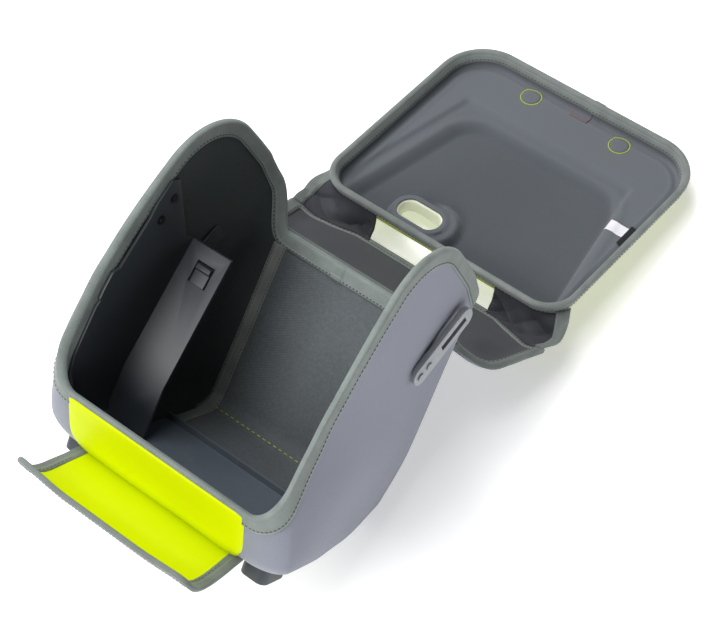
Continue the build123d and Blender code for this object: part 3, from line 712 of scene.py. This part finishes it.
def down_from_rim(t, distances):
    """Share and height at distances down the wall from the rim, square to it, and the
    direction down at the first of them.

    Each step goes along the wall's own skin, square to the rim's direction, by solving
    the skin's two slopes for it."""
    z = rim_height(t)
    rim = skin(t, z)
    tangent = np.roll(rim, -1, 0) - np.roll(rim, 1, 0)
    tiny_t, tiny_z = 0.0006, 0.4
    found, headings, done = [], [], 0.0
    for distance in distances:
        slope_t = (skin(t + tiny_t, z) - skin(t - tiny_t, z)) / (2 * tiny_t)
        slope_z = (skin(t, z + tiny_z) - skin(t, z - tiny_z)) / (2 * tiny_z)
        normal = unit(np.cross(slope_t, slope_z))
        heading = headings[-1] if headings else unit(np.cross(tangent, normal))
        heading = unit(heading - normal * (heading * normal).sum(-1, keepdims=True))
        tt, tz, zz = (slope_t**2).sum(-1), (slope_t * slope_z).sum(-1), (slope_z**2).sum(-1)
        ht, hz = (heading * slope_t).sum(-1), (heading * slope_z).sum(-1)
        share = (distance - done) / (tt * zz - tz * tz)
        t, z = t + (ht * zz - hz * tz) * share, z + (hz * tt - ht * tz) * share
        done = distance
        found.append((t, z))
        headings.append(heading)
    return found, headings[0]


def rim_tape(t, width, lift, top_rise):
    """Tape folded over the rim: its outer leg, a half ellipse over the edge, its inner
    leg, and back through the wall. Columns follow the rim."""
    found, heading = down_from_rim(t, np.linspace(0.4, width, 7))
    outer_leg = [skin(*step, -lift, 1.0) for step in found]
    inner_leg = [skin(*step, lining_wall + lift) for step in found]
    centre, across = (outer_leg[0] + inner_leg[0]) / 2, (outer_leg[0] - inner_leg[0]) / 2
    arch = [
        centre + across * math.cos(angle) - heading * (0.4 + top_rise) * math.sin(angle)
        for angle in np.linspace(0, math.pi, 11)[1:-1]
    ]
    ends = skin(*found[-1], 0.3, 1.0), skin(*found[-1], lining_wall - 0.3), skin(*found[2])
    return np.stack([ends[0], *outer_leg[::-1], *arch, *inner_leg, *ends[1:]]), found


rim_columns = even_columns(900)
overlap = np.zeros(len(rim_columns))
overlap[464:472] = 0.8
tape_rows, tape_steps = rim_tape(rim_columns, tape_width, tape_lift + overlap, 2.2)
surface(
    "rim_tape", leaned(tape_rows), "binding_tape", "case", ring=True, stands_for=("rim_binding",),
)
for side, inset, padding in (
    ("inside", lining_wall + tape_lift + 0.05, 0.0), ("outside", -tape_lift - 0.05, 1.0),
):
    line = leaned(skin(*tape_steps[5], inset, padding))
    away = line - leaned(skin(*tape_steps[5]))
    name = "rim_stitches_" + side
    stitch_line(name, line, away, "dark_thread", "case", 4.0, 2.5, 0.55, True)


# Tapes and cloths of the other pieces

def folded_tape(name, bands, normals, half, lift, finish, body, closed, stands_for=()):
    """Tape folded over an edge.

    bands are rows of points along the edge, the first on it and the others further in.
    The profile is a leg over them, a half ellipse round the edge, a leg under them, and
    back through the middle.
    """
    reach = half + lift
    out = unit(bands[0] - bands[1])
    over = [band + normal * reach for band, normal in zip(bands, normals)]
    under = [band - normal * reach for band, normal in zip(bands, normals)]
    arch = [
        bands[0] + normals[0] * reach * math.cos(angle) + out * reach * 0.8 * math.sin(angle)
        for angle in np.linspace(0, math.pi, 9)[1:-1]
    ]
    ends = [bands[-1] + normals[-1] * half * 0.7, bands[-1] - normals[-1] * half * 0.7]
    rows = [ends[0]] + over[::-1] + arch + under + [ends[1]]
    surface(
        name, np.stack(rows, 1), finish, body, ring=closed, caps=not closed,
        stands_for=stands_for, swap=True,
    )
    return over, under


def sew(names, tape, normals, finish, body, skip=0, closed=False):
    """Stitches along the two legs of a folded tape, a tenth of a millimetre out from each
    along its normal; the second line stops short of both ends of the tape by skip points."""
    for name, leg, sign, cut in ((names[0], tape[0][3], 1, 0), (names[1], tape[1][3], -1, skip)):
        kept = slice(cut, len(leg) - cut)
        away = normals[3][kept] * sign
        stitch_line(name, leg[kept] + away * 0.1, away, finish, body, closed=closed)


def pattern_bands(place, path, distances):
    """Points and normals of a cloth at distances in from a path on its flat pattern.

    place takes the pattern's two lengths to the cloth, and in from the path is to the
    right of its direction.
    """
    ahead = unit(np.gradient(path, axis=0))
    inward = np.stack([ahead[:, 1], -ahead[:, 0]], -1)
    bands, normals = [], []
    for distance in distances:
        x, s = (path + inward * distance).T
        bands.append(place(x, s))
        across = place(x + 0.5, s) - place(x - 0.5, s)
        normals.append(unit(np.cross(across, place(x, s + 0.5) - place(x, s - 0.5))))
    return bands, normals


def even_path(path, step):
    """A flat path with points at even steps."""
    run = lengths(path)
    return sample(np.linspace(0, run[-1], int(run[-1] / step) + 2), run, path)


def cloth(name, middle, half, finish, body, stands_for, level=0.0):
    """A closed cloth round a grid of its middle points, shifted by level and half thick
    each side, thinning to nothing at its edges."""
    normal = facing(middle)
    thick = np.full(middle.shape[:2] + (1,), half)
    thick[0], thick[-1], thick[:, 0], thick[:, -1] = 0, 0, 0, 0
    centre = middle + normal * level
    top, bottom = centre + normal * thick, centre - normal * thick
    return surface(
        name, np.concatenate([top, bottom[-2:0:-1]]), finish, body, loop=False, ring=True,
        stands_for=stands_for, merge=True,
    )


# Front panel and closure flap

panel_shift = -2.0


def panel_half(s):
    """Half width of the panel at s down it: its lower corners are rounded."""
    return 101.0 - 9.0 * smooth((s - 26) / 34) ** 2


def panel_point(share, s):
    """The lime panel's outer skin: s runs down the front wall from under the rim tape and
    round the toe, and share goes across from -1 to 1. It stands proud of the shell by a
    cushion that falls away at its ends."""
    x = share * panel_half(s) + panel_shift
    top = front_height - 3.0
    straight = top - toe_rounding
    angle = np.clip((s - straight) / (toe_rounding * 1.25), 0, 1.25)
    z = np.where(s < straight, top - s, toe_rounding * (1 - np.sin(angle)))
    draw = toe_rounding * (1 - np.cos(angle))
    cushion = 2.8 * np.clip(1 - np.abs(share) ** 16, 0, 1) ** 0.5 - 0.4
    cushion = cushion + 0.3 * np.sin(x / 17.0) * np.sin(s / 14.0)
    y = -base_depth - front_slope * z + (draw - cushion) * 1.085
    return np.stack([x, y, z - cushion * np.sin(angle)], -1)


panel_share = np.sin(np.linspace(-1, 1, 121) * math.pi / 2)
panel = leaned(panel_point(*np.meshgrid(panel_share, np.linspace(0, 63, 44))))
cloth("front_cushion", panel, 1.2, "lime_fabric", "case", ("front_panel",), 1.2)

flap_run = np.linspace(-12, 95, 215)
flap_angle = np.radians(-20 + 62 * smooth((flap_run - 34) / 42))
flap_y = -np.cumsum(np.cos(flap_angle)) * 0.5
flap_z = np.cumsum(np.sin(flap_angle)) * 0.5
flap_y, flap_z = flap_y - np.interp(0, flap_run, flap_y), flap_z - np.interp(0, flap_run, flap_z)


def flap_point(x, s):
    """The flap's middle: s out from its root along a path that dips and then curls up
    along the outer edge, more at the corners and most at the left one. It lies askew by a
    share of how far out it is."""
    out = np.clip(s / flap_length, 0, 1.1)
    corner = smooth((np.abs(x) - 40) / 62) * (2.5 + 2.5 * (x < 0)) * out**2
    ripple = 0.7 * np.sin(x / 11.0 + s / 9.0) * smooth((np.abs(x) - 60) / 40) * half_wave(out)
    y = -182.0 + np.interp(s, flap_run, flap_y)
    z = 5.5 + np.interp(s, flap_run, flap_z) + corner + ripple
    return leaned(np.stack([x - flap_skew * out, y + 0 * x, z], -1))


flap_outline = np.array([(flap_root_half, 0), (flap_tip_half, flap_length + 1)])
flap_outline = np.concatenate([flap_outline * np.array([-1, 1]), flap_outline[::-1]])
flap_path = even_path(rounded_path(flap_outline, [0, flap_corner, flap_corner, 0]), 1.6)
flap_bend = flap_length - flap_corner
flap_s = flap_bend + flap_corner * np.sin(np.linspace(0.1, 1, 9) * math.pi / 2)
flap_s = np.concatenate([np.linspace(-1, flap_bend, 36), flap_s])[:, None]
flap_cut = np.clip(flap_s - flap_bend, 0, flap_corner)
flap_cut = flap_corner - np.sqrt(np.clip(flap_corner**2 - flap_cut**2, 0, None))
flap_x = flap_root_half - 1 + (flap_tip_half - flap_root_half) * flap_s / flap_length - flap_cut
flap_x = np.linspace(-1, 1, 91)[None, :] * flap_x
cloth(
    "flap_cloth", flap_point(flap_x, flap_s + 0 * flap_x), 1.5, "lime_fabric", "closure_flap",
    ("flap_panel", "flap_keepers"),
)
bands, normals = pattern_bands(flap_point, flap_path, (0.0, 2.5, 5.0, 7.5, 10.0))
tape = folded_tape(
    "flap_tape", bands, normals, 1.6, 0.8, "narrow_tape", "closure_flap", False, ("flap_binding",),
)
names = "flap_stitches", "flap_stitches_under"
sew(names, tape, normals, "grey_thread", "closure_flap", skip=11)

# Cap

cap_run = np.linspace(0, 130, 521)
cap_heading = np.radians(-87.6 + 51.9 * smooth((cap_run - 18) / 28))
cap_y = np.cumsum(np.cos(cap_heading)) * 0.25
cap_z = np.cumsum(np.sin(cap_heading)) * 0.25
cap_share = cap_run / cap_length
cap_y_miss = cap_tip[0] - cap_root[0] - np.interp(cap_length, cap_run, cap_y)
cap_z_miss = cap_tip[1] - cap_root[1] - np.interp(cap_length, cap_run, cap_z)
cap_y = cap_root[0] + cap_y + cap_y_miss * cap_share
cap_z = cap_root[1] + cap_z + cap_z_miss * cap_share
cap_corners = [(98, 3), (100, 22), (143, 44), (150.5, 100), (84, cap_length)]
cap_edge = rounded_path(cap_corners, [0, 10, 30, 13, 0])


def cap_point(x, s):
    """The cap's middle: s down the riser, round a soft bend and out along its top, whose
    ends curl up by one minus a cosine of how far they are past the flat middle. Two
    hollows, each a product of humps, are where the ears' rims press it when shut."""
    over = np.clip((np.abs(x) - 122) / 27, 0, 1.2)
    risen = smooth((s - 30) / 20)
    lip = 12.5 * (1 - np.cos(math.pi / 2 * over)) * risen
    lip = lip - 1.6 * half_wave((s - 36) / 89) * np.clip(1 - np.abs(x) / 150, 0, 1)
    lip = lip + 0.8 * np.sin(x / 13.0 + s / 21.0) * smooth((np.abs(x) - 85) / 40) * risen
    lip = lip - 3.0 * hump(np.abs(x) - 113, 24) * hump(s - 54, 30)
    heading = np.interp(s, cap_run, cap_heading)
    y = np.interp(s, cap_run, cap_y) - np.sin(heading) * lip
    z = np.interp(s, cap_run, cap_z) + np.cos(heading) * lip
    return np.stack([x, y, z], -1)


cap_s = np.linspace(3, cap_length, 72)[:, None]
cap_x = np.interp(cap_s, cap_edge[:, 1], cap_edge[:, 0]) - 0.4
cap_x = np.linspace(-1, 1, 121)[None, :] * cap_x
cap_grid = cap_point(cap_x, cap_s + 0 * cap_x)
cap_across = cap_x / np.abs(cap_x[:, -1:])
cap_belly = 9.0 * (1 - cap_across**6) * smooth((np.abs(cap_x) - 66) / 44) * hump(cap_s - 50, 42)
cap_facing = facing(cap_grid)
cap_upright = np.sign(cap_facing[..., 2:]) * np.abs(cap_facing[..., 2:]).clip(0.3)
cap_below = cap_grid - cap_facing * cap_upright * cap_belly[..., None]
cloth("cap_outside", cap_below, 1.3, "outer_fabric", "cap", ("cap_shell",), -0.7)
cloth("cap_inside", cap_grid, 0.7, "cap_lining_fabric", "cap", ("cap_lining",), 1.35)
cap_right = cap_edge[cap_edge[:, 1] > 7]
cap_left = cap_right * np.array([-1, 1])
cap_path = even_path(np.concatenate([cap_left, cap_right[::-1]]), 1.6)
bands, normals = pattern_bands(cap_point, cap_path, (0.0, 2.2, 4.4, 6.6, 9.0))
tape = folded_tape(
    "cap_tape", bands, normals, 2.1, 0.8, "narrow_tape", "cap", False, ("cap_binding",),
)
sew(("cap_stitches", "cap_stitches_under"), tape, normals, "dark_thread", "cap")

# Lid

def lid_loop(count):
    """The lid's rim outline at even steps from the middle of its near edge towards +a:
    points, and the direction in from each."""
    near, far = near_corner, far_corner
    turn = np.linspace(0, math.pi / 2, 60)
    sin, cos = np.sin(turn), np.cos(turn)
    a = [0, *(lid_half - near + near * sin), *(lid_half - far + far * cos), 0]
    b = [lid_near, *(lid_near + near - near * cos), *(lid_far - far + far * sin), lid_far]
    half = np.stack([a, b, [0, *-sin, *-cos, 0], [1, *cos, *-sin, -1]], -1)
    loop = np.concatenate([half, half[-2::-1] * np.array([-1, 1, -1, 1])])
    run = lengths(loop[:, :2])
    loop = sample(np.arange(count) / count * run[-1], run, loop)
    return loop[:, :2], unit(loop[:, 2:])


def lid_inset(a, b):
    """How far a point is in from the lid's rim outline, a rectangle with round corners."""
    radius = np.where(b > 128, far_corner, near_corner)
    out_a = np.abs(a) - (lid_half - radius)
    out_b = np.where(b > 128, b - (lid_far - radius), lid_near + radius - b)
    outside = np.hypot(np.maximum(out_a, 0), np.maximum(out_b, 0))
    return radius - outside - np.minimum(np.maximum(out_a, out_b), 0)


def window_distance(a, b):
    """Distance of a point from the window's edge, a stadium."""
    along = np.clip(a - window_a, -window_straight, window_straight)
    return np.hypot(a - window_a - along, b - window_b) - window_round


def lid_relief(a, b):
    """What is pressed into the lid's floor: a shelf all round a sunk middle, whose far
    wall is broad and soft, whose right wall is steep and whose left wall comes down in two
    steps, and a boss round the window as high as the shelf."""
    left = (a + 90 + (174 - b) * 0.20) * 0.98
    right = (96 + (174 - b) * 0.185 - a) * 0.98
    far = 177 - b
    corner = 30.0
    left_far = corner - np.hypot(np.maximum(corner - left, 0), np.maximum(corner - far, 0))
    right_far = corner - np.hypot(np.maximum(corner - right, 0), np.maximum(corner - far, 0))
    down = smooth(np.minimum(left_far, far) / 14 + 0.2) * smooth(right_far / 6 + 0.5)
    step = smooth((left + 19) / 7) * smooth((far + 16) / 8) * smooth((right + 5) / 5)
    lip = 0.8 * hump(np.minimum(left_far, right_far + 6) + 4, 6)
    near = window_distance(a, b)
    boss = smooth((13 - near) / 9)
    boss = np.maximum(boss, 0.8 * smooth((21 - near) / 8) * smooth((a + 52) / 25))
    shelf = lid_shelf * (1 - 0.72 * down - 0.28 * step) + lip
    strip = 0.35 * smooth((b - 200) * 1.4)
    return np.maximum(shelf, lid_shelf * boss) + strip


def lid_inside(a, b, drop=0.0):
    """The lid's inner skin over its plan: a wall that steepens towards the rim, one minus a
    power of how far in it is, and the relief of the floor."""
    depth = np.clip((lid_inset(a, b) - lid_wall) / 16, 0, 1)
    floor = lid_floor * (1 - (1 - depth) ** 2.3)
    return np.stack([a, b, floor + lid_relief(a, b) * smooth(depth * 1.5 - 0.25) - drop], -1)


def window_edge(outline):
    """Where rays from the window's middle to points round it cross its edge, a stadium:
    its flat sides where they come first, and else its round ends."""
    ray = unit(outline - np.array([window_a, window_b]))
    flat = window_round / np.maximum(np.abs(ray[:, 1]), 1e-6)
    across = window_straight * np.abs(ray[:, 0])
    end = across + np.sqrt(np.maximum(across**2 - window_straight**2 + window_round**2, 0))
    reach = np.where(np.abs(ray[:, 0]) * flat <= window_straight, flat, end)
    return ray * reach[:, None] + np.array([window_a, window_b])


rim_line, rim_in = lid_loop(520)


def lid_ring(inset, c):
    """The rim outline drawn in by an inset, at a height c."""
    points = rim_line + rim_in * inset
    return np.stack([points[:, 0], points[:, 1], c + 0 * points[:, 0]], -1)


last = rim_line + rim_in * 21
hole = window_edge(last)
inner_rows, under_rows = [], []
for inset in np.concatenate([np.linspace(lid_wall, 12, 12), np.linspace(13, 21, 7)]):
    points = lid_ring(inset, 0)
    inner_rows.append(lid_inside(points[:, 0], points[:, 1]))
    share = (inset - lid_wall) / (21 - lid_wall)
    outward = np.concatenate([-rim_in, 0 * rim_in[:, :1]], 1)
    under_rows.append(inner_rows[-1] + outward * 1.5 * (1 - share) - np.array([0, 0, 1.5 * share]))
for share in np.linspace(0, 1, 76)[1:]:
    flat = last + (hole - last) * share
    inner_rows.append(lid_inside(flat[:, 0], flat[:, 1]))
    under_rows.append(lid_inside(flat[:, 0], flat[:, 1], 1.5))
inner_rows, under_rows = np.stack(inner_rows), np.stack(under_rows)
surface(
    "lid_inside_cloth", laid(np.concatenate([inner_rows, under_rows[::-1]])), "lid_lining_fabric",
    "lid", ring=True, stands_for=("lid_lining",),
)
outer_rows = [lid_ring(-c * lid_flare / lid_depth, c) for c in np.linspace(0, -21, 14)]
for angle in np.linspace(0, math.pi / 2, 9)[1:]:
    inset = 21 * lid_flare / lid_depth + 9 * (1 - math.cos(angle)) + 2.0 * math.sin(angle)
    outer_rows.append(lid_ring(inset, -21 - 10 * math.sin(angle)))
foot_ring = outer_rows[-1]
for share in np.linspace(0, 1, 30)[1:]:
    flat = foot_ring[:, :2] + (hole - foot_ring[:, :2]) * share
    outer_rows.append(np.concatenate([flat, foot_ring[:, 2:]], 1))
shell_inner = under_rows - np.array([0, 0, 0.6])
lid_rows = laid(np.concatenate([np.stack(outer_rows), shell_inner[::-1]]))
surface(
    "lid_outside_shell", lid_rows, "outer_lid_fabric", "lid", ring=True, stands_for=("lid_shell",),
)

lid_bands, lid_normals = [], []
slant = lid_flare / lid_depth
for distance in (0.0, 2.2, 4.4, 6.8, 9.2):
    waver = 0.35 * np.sin(np.arange(len(rim_line)) / 5.3) * (distance > 8)
    points = lid_ring(2.3 + distance * slant, -distance)
    points[:, 2] -= waver
    lid_bands.append(laid(points))
    outwards = unit(np.concatenate([-rim_in, np.full((len(rim_in), 1), -slant)], 1))
    lid_normals.append(laid(points + outwards) - laid(points))
lid_overlap = (rim_line[:, 1] > 200) & (np.abs(rim_line[:, 0] - 15) < 6)
tape = folded_tape(
    "lid_tape", lid_bands, lid_normals, 2.4, 0.9 + 0.8 * lid_overlap[:, None], "lid_tape", "lid",
    True, ("lid_binding",),
)
names = "lid_stitches_outside", "lid_stitches_inside"
sew(names, tape, lid_normals, "dark_thread", "lid", closed=True)

turn = np.linspace(0, 2 * math.pi, 121)[:-1]
circle = np.stack([np.cos(turn), np.sin(turn)], -1)
window_ring = np.array([window_a, window_b]) + 0 * circle
window_ring[:, 0] += window_straight * np.sign(np.cos(turn))
bezel_profile = np.array([
    (-0.6, -30.8), (-2.0, -31.0), (-2.6, -30.2), (-2.3, -24.0), (-1.8, -18.4), (-1.2, -17.2),
    (-0.2, -16.8), (0.8, -17.0), (1.5, -17.6), (1.7, -18.4), (1.2, -19.2), (0.2, -20.0),
    (-0.4, -21.0),
])
bezel_rows = [
    np.concatenate([window_ring + circle * (window_round + out), np.full((120, 1), c)], 1)
    for out, c in bezel_profile
]
surface(
    "window_rim", laid(np.stack(bezel_rows)), "window_plastic", "lid", ring=True,
    stands_for=("window_bezel",),
)

ring_lines, covers = [], []
up_lid = laid(np.array([[0.0, 0, 1]])) - laid(np.array([[0.0, 0, 0]]))
for spot in np.array([(-magnet_a, magnet_b), (magnet_a, magnet_b)]):
    line = laid(lid_inside(*(spot + circle * 10.6).T, -0.25))
    ups = np.repeat(up_lid, len(line), 0)
    ring_lines.append(stitch_line("ring", line, ups, "lime_thread", None, 2.2, 2.1, 0.5, True))
    dome = ((0.3, 0.9), (3, 0.9), (6, 0.8), (8.4, 0.6), (9.4, 0.1), (9.0, -0.8))
    disc = [lid_inside(*(spot + circle * radius).T, -rise) for radius, rise in dome]
    covers.append(surface("cover", laid(np.stack(disc)), "lid_lining_fabric", None, caps=True))
joined("magnet_ring_stitches", ring_lines, "lime_thread", "lid", ("magnet_rings",))
joined("magnet_covers", covers, "lid_lining_fabric", "lid", ("lid_magnets",))


def patch(name, a_range, b_range, finish, stands_for, thick, lift, curl=0.0):
    """A small sewn piece that follows the lid's inner skin, its far end curled up a little."""
    a, b = np.meshgrid(np.linspace(*a_range, 25), np.linspace(*b_range, 21))
    rise = lift + curl * ((b - b_range[0]) / (b_range[1] - b_range[0])) ** 2
    points = lid_inside(a, b) + np.stack([0 * a, 0 * a, rise], -1)
    return cloth(name, laid(points), thick, finish, "lid", (stands_for,))


patch("bare_label", (105, 129), (132, 145), "label_fabric", "blank_label", 0.3, 0.7, 0.8)
patch("folded_tag", (126.5, 137.0), (122, 148), "tag_fabric", "side_tag", 0.5, 2.3, 0.5)
patch("tab_patch", (-11, 11), (233, 245), "lid_lining_fabric", "stitched_tab", 0.3, 0.25)
tab_side = np.linspace(0, 1, 30)
tab_a = np.concatenate([-10 + 0 * tab_side, -10 + 20 * tab_side, 10 + 0 * tab_side])
tab_b = np.concatenate([245 - 11 * tab_side, 234 + 0 * tab_side, 234 + 11 * tab_side])
line = laid(lid_inside(tab_a, tab_b, -0.75))
ups = np.repeat(up_lid, len(line), 0)
stitch_line("tab_stitches", line, ups, "orange_thread", "lid", 2.9, 1.9, 0.42)

# Bellows

far_edge = cap_edge[np.argmax(cap_edge[:, 0]):][::-1]


def bellows_point(sign, u, v):
    """Folded cloth from under the cap's far edge, v = 0, to the lid's near wall, v = 1; u
    runs from the handle gap out to the bound end. It sags by a half wave and is creased
    by two slanting sets of folded waves."""
    x = 71 + 77 * u
    from_root = np.interp(x, far_edge[:, 0], far_edge[:, 1]) - 4.5
    start = cap_point(sign * x, from_root) + np.array([0, 1.2, 3.4])
    a = 71 + 71 * u
    past = np.clip(a - (lid_half - near_corner), 0, near_corner)
    b = lid_near + 3 + near_corner - np.sqrt(np.clip(near_corner**2 - past**2, 0, None))
    end = laid(np.stack([sign * a, b, -9.5 + 0 * a], -1))
    share = v[..., None]
    slack = np.sin(math.pi * v)
    folds = 1 - np.abs(np.sin(math.pi * (1.6 * u + 0.9 * v + 0.15)))
    small = 1 - np.abs(np.sin(math.pi * (3.4 * u - 2.1 * v + 0.4)))
    sag = slack * (9.0 - 4.0 * u + (7.0 * folds - 2.5) * (0.4 + 0.6 * u) + 2.0 * small)
    points = start * (1 - share) + end * share
    billow = sign * 8.0 * slack * smooth((u - 0.55) / 0.45)
    return points - np.stack([-billow, -0.4 * sag * (folds - 0.5), sag], -1)


def crossing(name):
    """Cloth from the cap at its near side to the lid at its far side, its place baked into its
    points.
    """
    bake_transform(bpy.data.objects[name])


for sign, side in ((1, "right"), (-1, "left")):
    across, onward = np.meshgrid(np.linspace(0, 1, 64), np.linspace(0, 1, 46))
    cloth(
        "bellows_cloth_" + side, bellows_point(sign, across, onward), 0.7, "bellows_fabric", None,
        ("bellows_" + side,),
    )
    onward = np.linspace(0, 1, 40)
    bands = [bellows_point(sign, 1 - d / 77 + 0 * onward, onward) for d in (0.0, 2.5, 5.0, 8.0)]
    normal = np.cross(unit(bands[0] - bands[-1]), unit(np.gradient(bands[0], axis=0)))
    normals = [unit(normal) * sign] * 4
    folded_tape("bellows_end_" + side, bands, normals, 0.8, 0.7, "narrow_tape", None, False)
    hem = bellows_point(sign, 0.045 + 0 * onward, onward) + np.array([0, 0, 0.8])
    ups = np.repeat(up_lid, len(hem), 0)
    stitch_line("bellows_hem_" + side, hem, ups, "grey_thread", None, 3.4, 2.0, 0.4)
    crossing("bellows_cloth_" + side)
    crossing("bellows_end_" + side)
    crossing("bellows_hem_" + side)

# Tapes and stitches inside the case

def lining_corner(x, height, angle, lift):
    """The lining's skin by the back wall at x: up the wall at a height above the bend, or
    with no height round the heel at an angle, lifted off by lift."""
    draw = 1 - np.sin(angle)
    round_y = heel_rounding - lining_wall
    inset = lining_wall + (side_rounding - lining_wall) * draw
    half = wall(1.0, 0.95, float(height if height else lining_floor), inset)[0]
    p = np.clip(np.abs(x) / half, 0, 0.998)
    bend = np.clip((p - 0.81) / 0.19, 0, 1)
    q = 1 - 0.095 * (1 - np.sqrt(1 - bend**2))
    side = (27 * bend) ** 2 / ((23**2) * (1 - bend**2) + (27 * bend) ** 2)
    round_z = round_y + (side_rounding - heel_rounding) * side
    z = height if height else lining_floor + lift * np.cos(angle) + round_z * (1 - np.cos(angle))
    inset_y = lining_wall + lift * np.sin(angle) + round_y * draw
    return wall(np.sign(x) * p, q, z + 0 * x, inset, inset_y)


def seam_strip(name, sign, stands_for):
    """Tape down the corner of side and back lining and forward over the floor."""
    widths = sign * np.array([-6.6, -6.3, -3.0, 0.0, 3.0, 6.3, 6.6])
    lifts = np.array([-0.4, 1.0, 1.25, 1.25, 1.25, 1.0, -0.4])
    rows = []
    for height in np.linspace(171, 22, 60):
        middle = sign * (88 + 4 * (height - 22) / 149)
        rows.append(lining_corner(middle + widths, height, math.pi / 2, lifts))
    for angle in np.linspace(math.pi / 2, 0, 14)[1:]:
        middle = sign * (88 - 3 * (1 - angle / (math.pi / 2)))
        rows.append(lining_corner(middle + widths, None, angle, lifts))
    heel = rows[-1]
    for share in np.linspace(0, 1, 24)[1:]:
        row = heel.copy()
        row[:, 1] = heel[:, 1] + (-60 - heel[:, 1]) * share
        rows.append(row)
    strip = np.stack(rows)
    surface(
        name, leaned(strip), "seam_tape", "case", caps=True, stands_for=(stands_for,), swap=True,
    )
    for column, edge in ((1, "_stitches_inner"), (5, "_stitches_outer")):
        line = strip[:, column] * 0.8 + strip[:, 3] * 0.2
        away = leaned(strip[:, 3] + np.array([0, -0.6, 0.8])) - leaned(strip[:, 3])
        stitch_line(name + edge, leaned(line), away, "dark_thread", "case", 3.6, 2.0, 0.45)


seam_strip("seam_strip_right", 1, "seam_tape_right")
seam_strip("seam_strip_left", -1, "seam_tape_left")
heel_x = np.linspace(-83, 83, 80)
heel_line = lining_corner(heel_x, None, 0.5, 0.4 + 0 * heel_x)
heel_up = leaned(heel_line + np.array([0, -0.5, 0.8])) - leaned(heel_line)
stitch_line("floor_stitches", leaned(heel_line), heel_up, "lime_thread", "case", 6.6, 4.0, 0.42)

# Moulded pieces

softened("side_bracket", "bracket_plastic", 0.7)
softened("floor_plate", "plate_plastic", 0.6)
softened("catch_hook", "bracket_plastic", 0.4)
for side in ("left", "right"):
    softened("foot_" + side, "foot_plastic", 1.2)
    softened("strap_clip_" + side, "clip_plastic", 1.2)
    softened("clip_backing_" + side, "bracket_plastic", 0.3)
softened("rear_bumpers", "bumper_rubber", 1.5)
node_finishes = {
    "bracket_screws": "screw_steel", "bracket_washers": "screw_steel", "foot_screws": "screw_steel",
    "clip_rivets": "clip_plastic", "hinge_piping": "edge_cord",
}
for node, finish in node_finishes.items():
    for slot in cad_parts[node].material_slots:
        slot.material = finishes[finish].material

# Camera, fitted to the photograph
camera_data = bpy.data.cameras.new("photo_camera")
camera_data.sensor_width = 36.0
camera_data.lens = 112.87
camera_data.clip_end = 50.0
camera = bpy.data.objects.new("photo_camera", camera_data)
camera.matrix_world = Matrix((
    (0.7660939, -0.48146457, 0.42578399, 0.860106),
    (0.63375893, 0.67615691, -0.37571459, -0.783018),
    (-0.10700352, 0.55767706, 0.82313215, 1.747861),
    (0.0, 0.0, 0.0, 1.0),
))
bpy.context.scene.collection.objects.link(camera)
bpy.context.scene.camera = camera
bpy.context.scene.view_settings.view_transform = "Standard"


# Studio

def lamp(name, place, target, size, power):
    """A soft square lamp at a place in metres, turned to a target."""
    data = bpy.data.lights.new(name, "AREA")
    data.shape = "SQUARE"
    data.size = size
    data.energy = power
    light = bpy.data.objects.new(name, data)
    away = unit(np.array(place, float) - np.array(target, float))
    right = unit(np.cross(np.array([0.0, 0.0, 1.0]), away) + np.array([1e-6, 0, 0]))
    up = np.cross(away, right)
    turn = np.eye(4)
    turn[:3, 0], turn[:3, 1], turn[:3, 2], turn[:3, 3] = right, up, away, place
    light.matrix_world = Matrix(turn.tolist())
    bpy.context.scene.collection.objects.link(light)


lamp("key_lamp", (-1.3, 0.9, 2.2), (0, 0, 0.1), 1.4, 38.0)
lamp("front_lamp", (-0.4, -1.5, 1.3), (0, 0, 0.1), 1.0, 28.0)
lamp("right_lamp", (2.0, -0.6, 0.2), (0, 0, 0.1), 0.6, 11.5)
lamp("top_lamp", (-0.3, 0.0, 2.7), (0, 0, 0), 1.4, 36.0)
world = bpy.data.worlds.new("studio")
world.use_nodes = True
world.node_tree.nodes["Background"].inputs["Color"].default_value = (1.0, 1.0, 1.0, 1.0)
world.node_tree.nodes["Background"].inputs["Strength"].default_value = 0.13
bpy.context.scene.world = world

floor_finish = Finish(
    roughness=0.7, specular_ior_level=0.2, emission_color=(1.0, 1.0, 1.0, 1.0),
    emission_strength=0.42,
)
floor_finish.material.name = "studio_floor"
finishes["studio_floor"] = floor_finish
floor_cloud = floor_finish.noise(floor_finish.place(), 1.5, 2.0)
floor_finish.feed(base_color=floor_finish.mix(floor_cloud, (250, 250, 250), (246, 246, 246)))
floor_mesh = bpy.data.meshes.new("studio_floor")
floor_mesh.from_pydata([(-9, -9, 0), (9, -9, 0), (9, 9, 0), (-9, 9, 0)], [], [(0, 1, 2, 3)])
put("studio_floor", floor_mesh, "studio_floor", None, smooth=False)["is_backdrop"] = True

boxes = {"cad": cad_box, "visual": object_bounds()}
{key: [list(map(float, corner)) for corner in box] for key, box in boxes.items()}
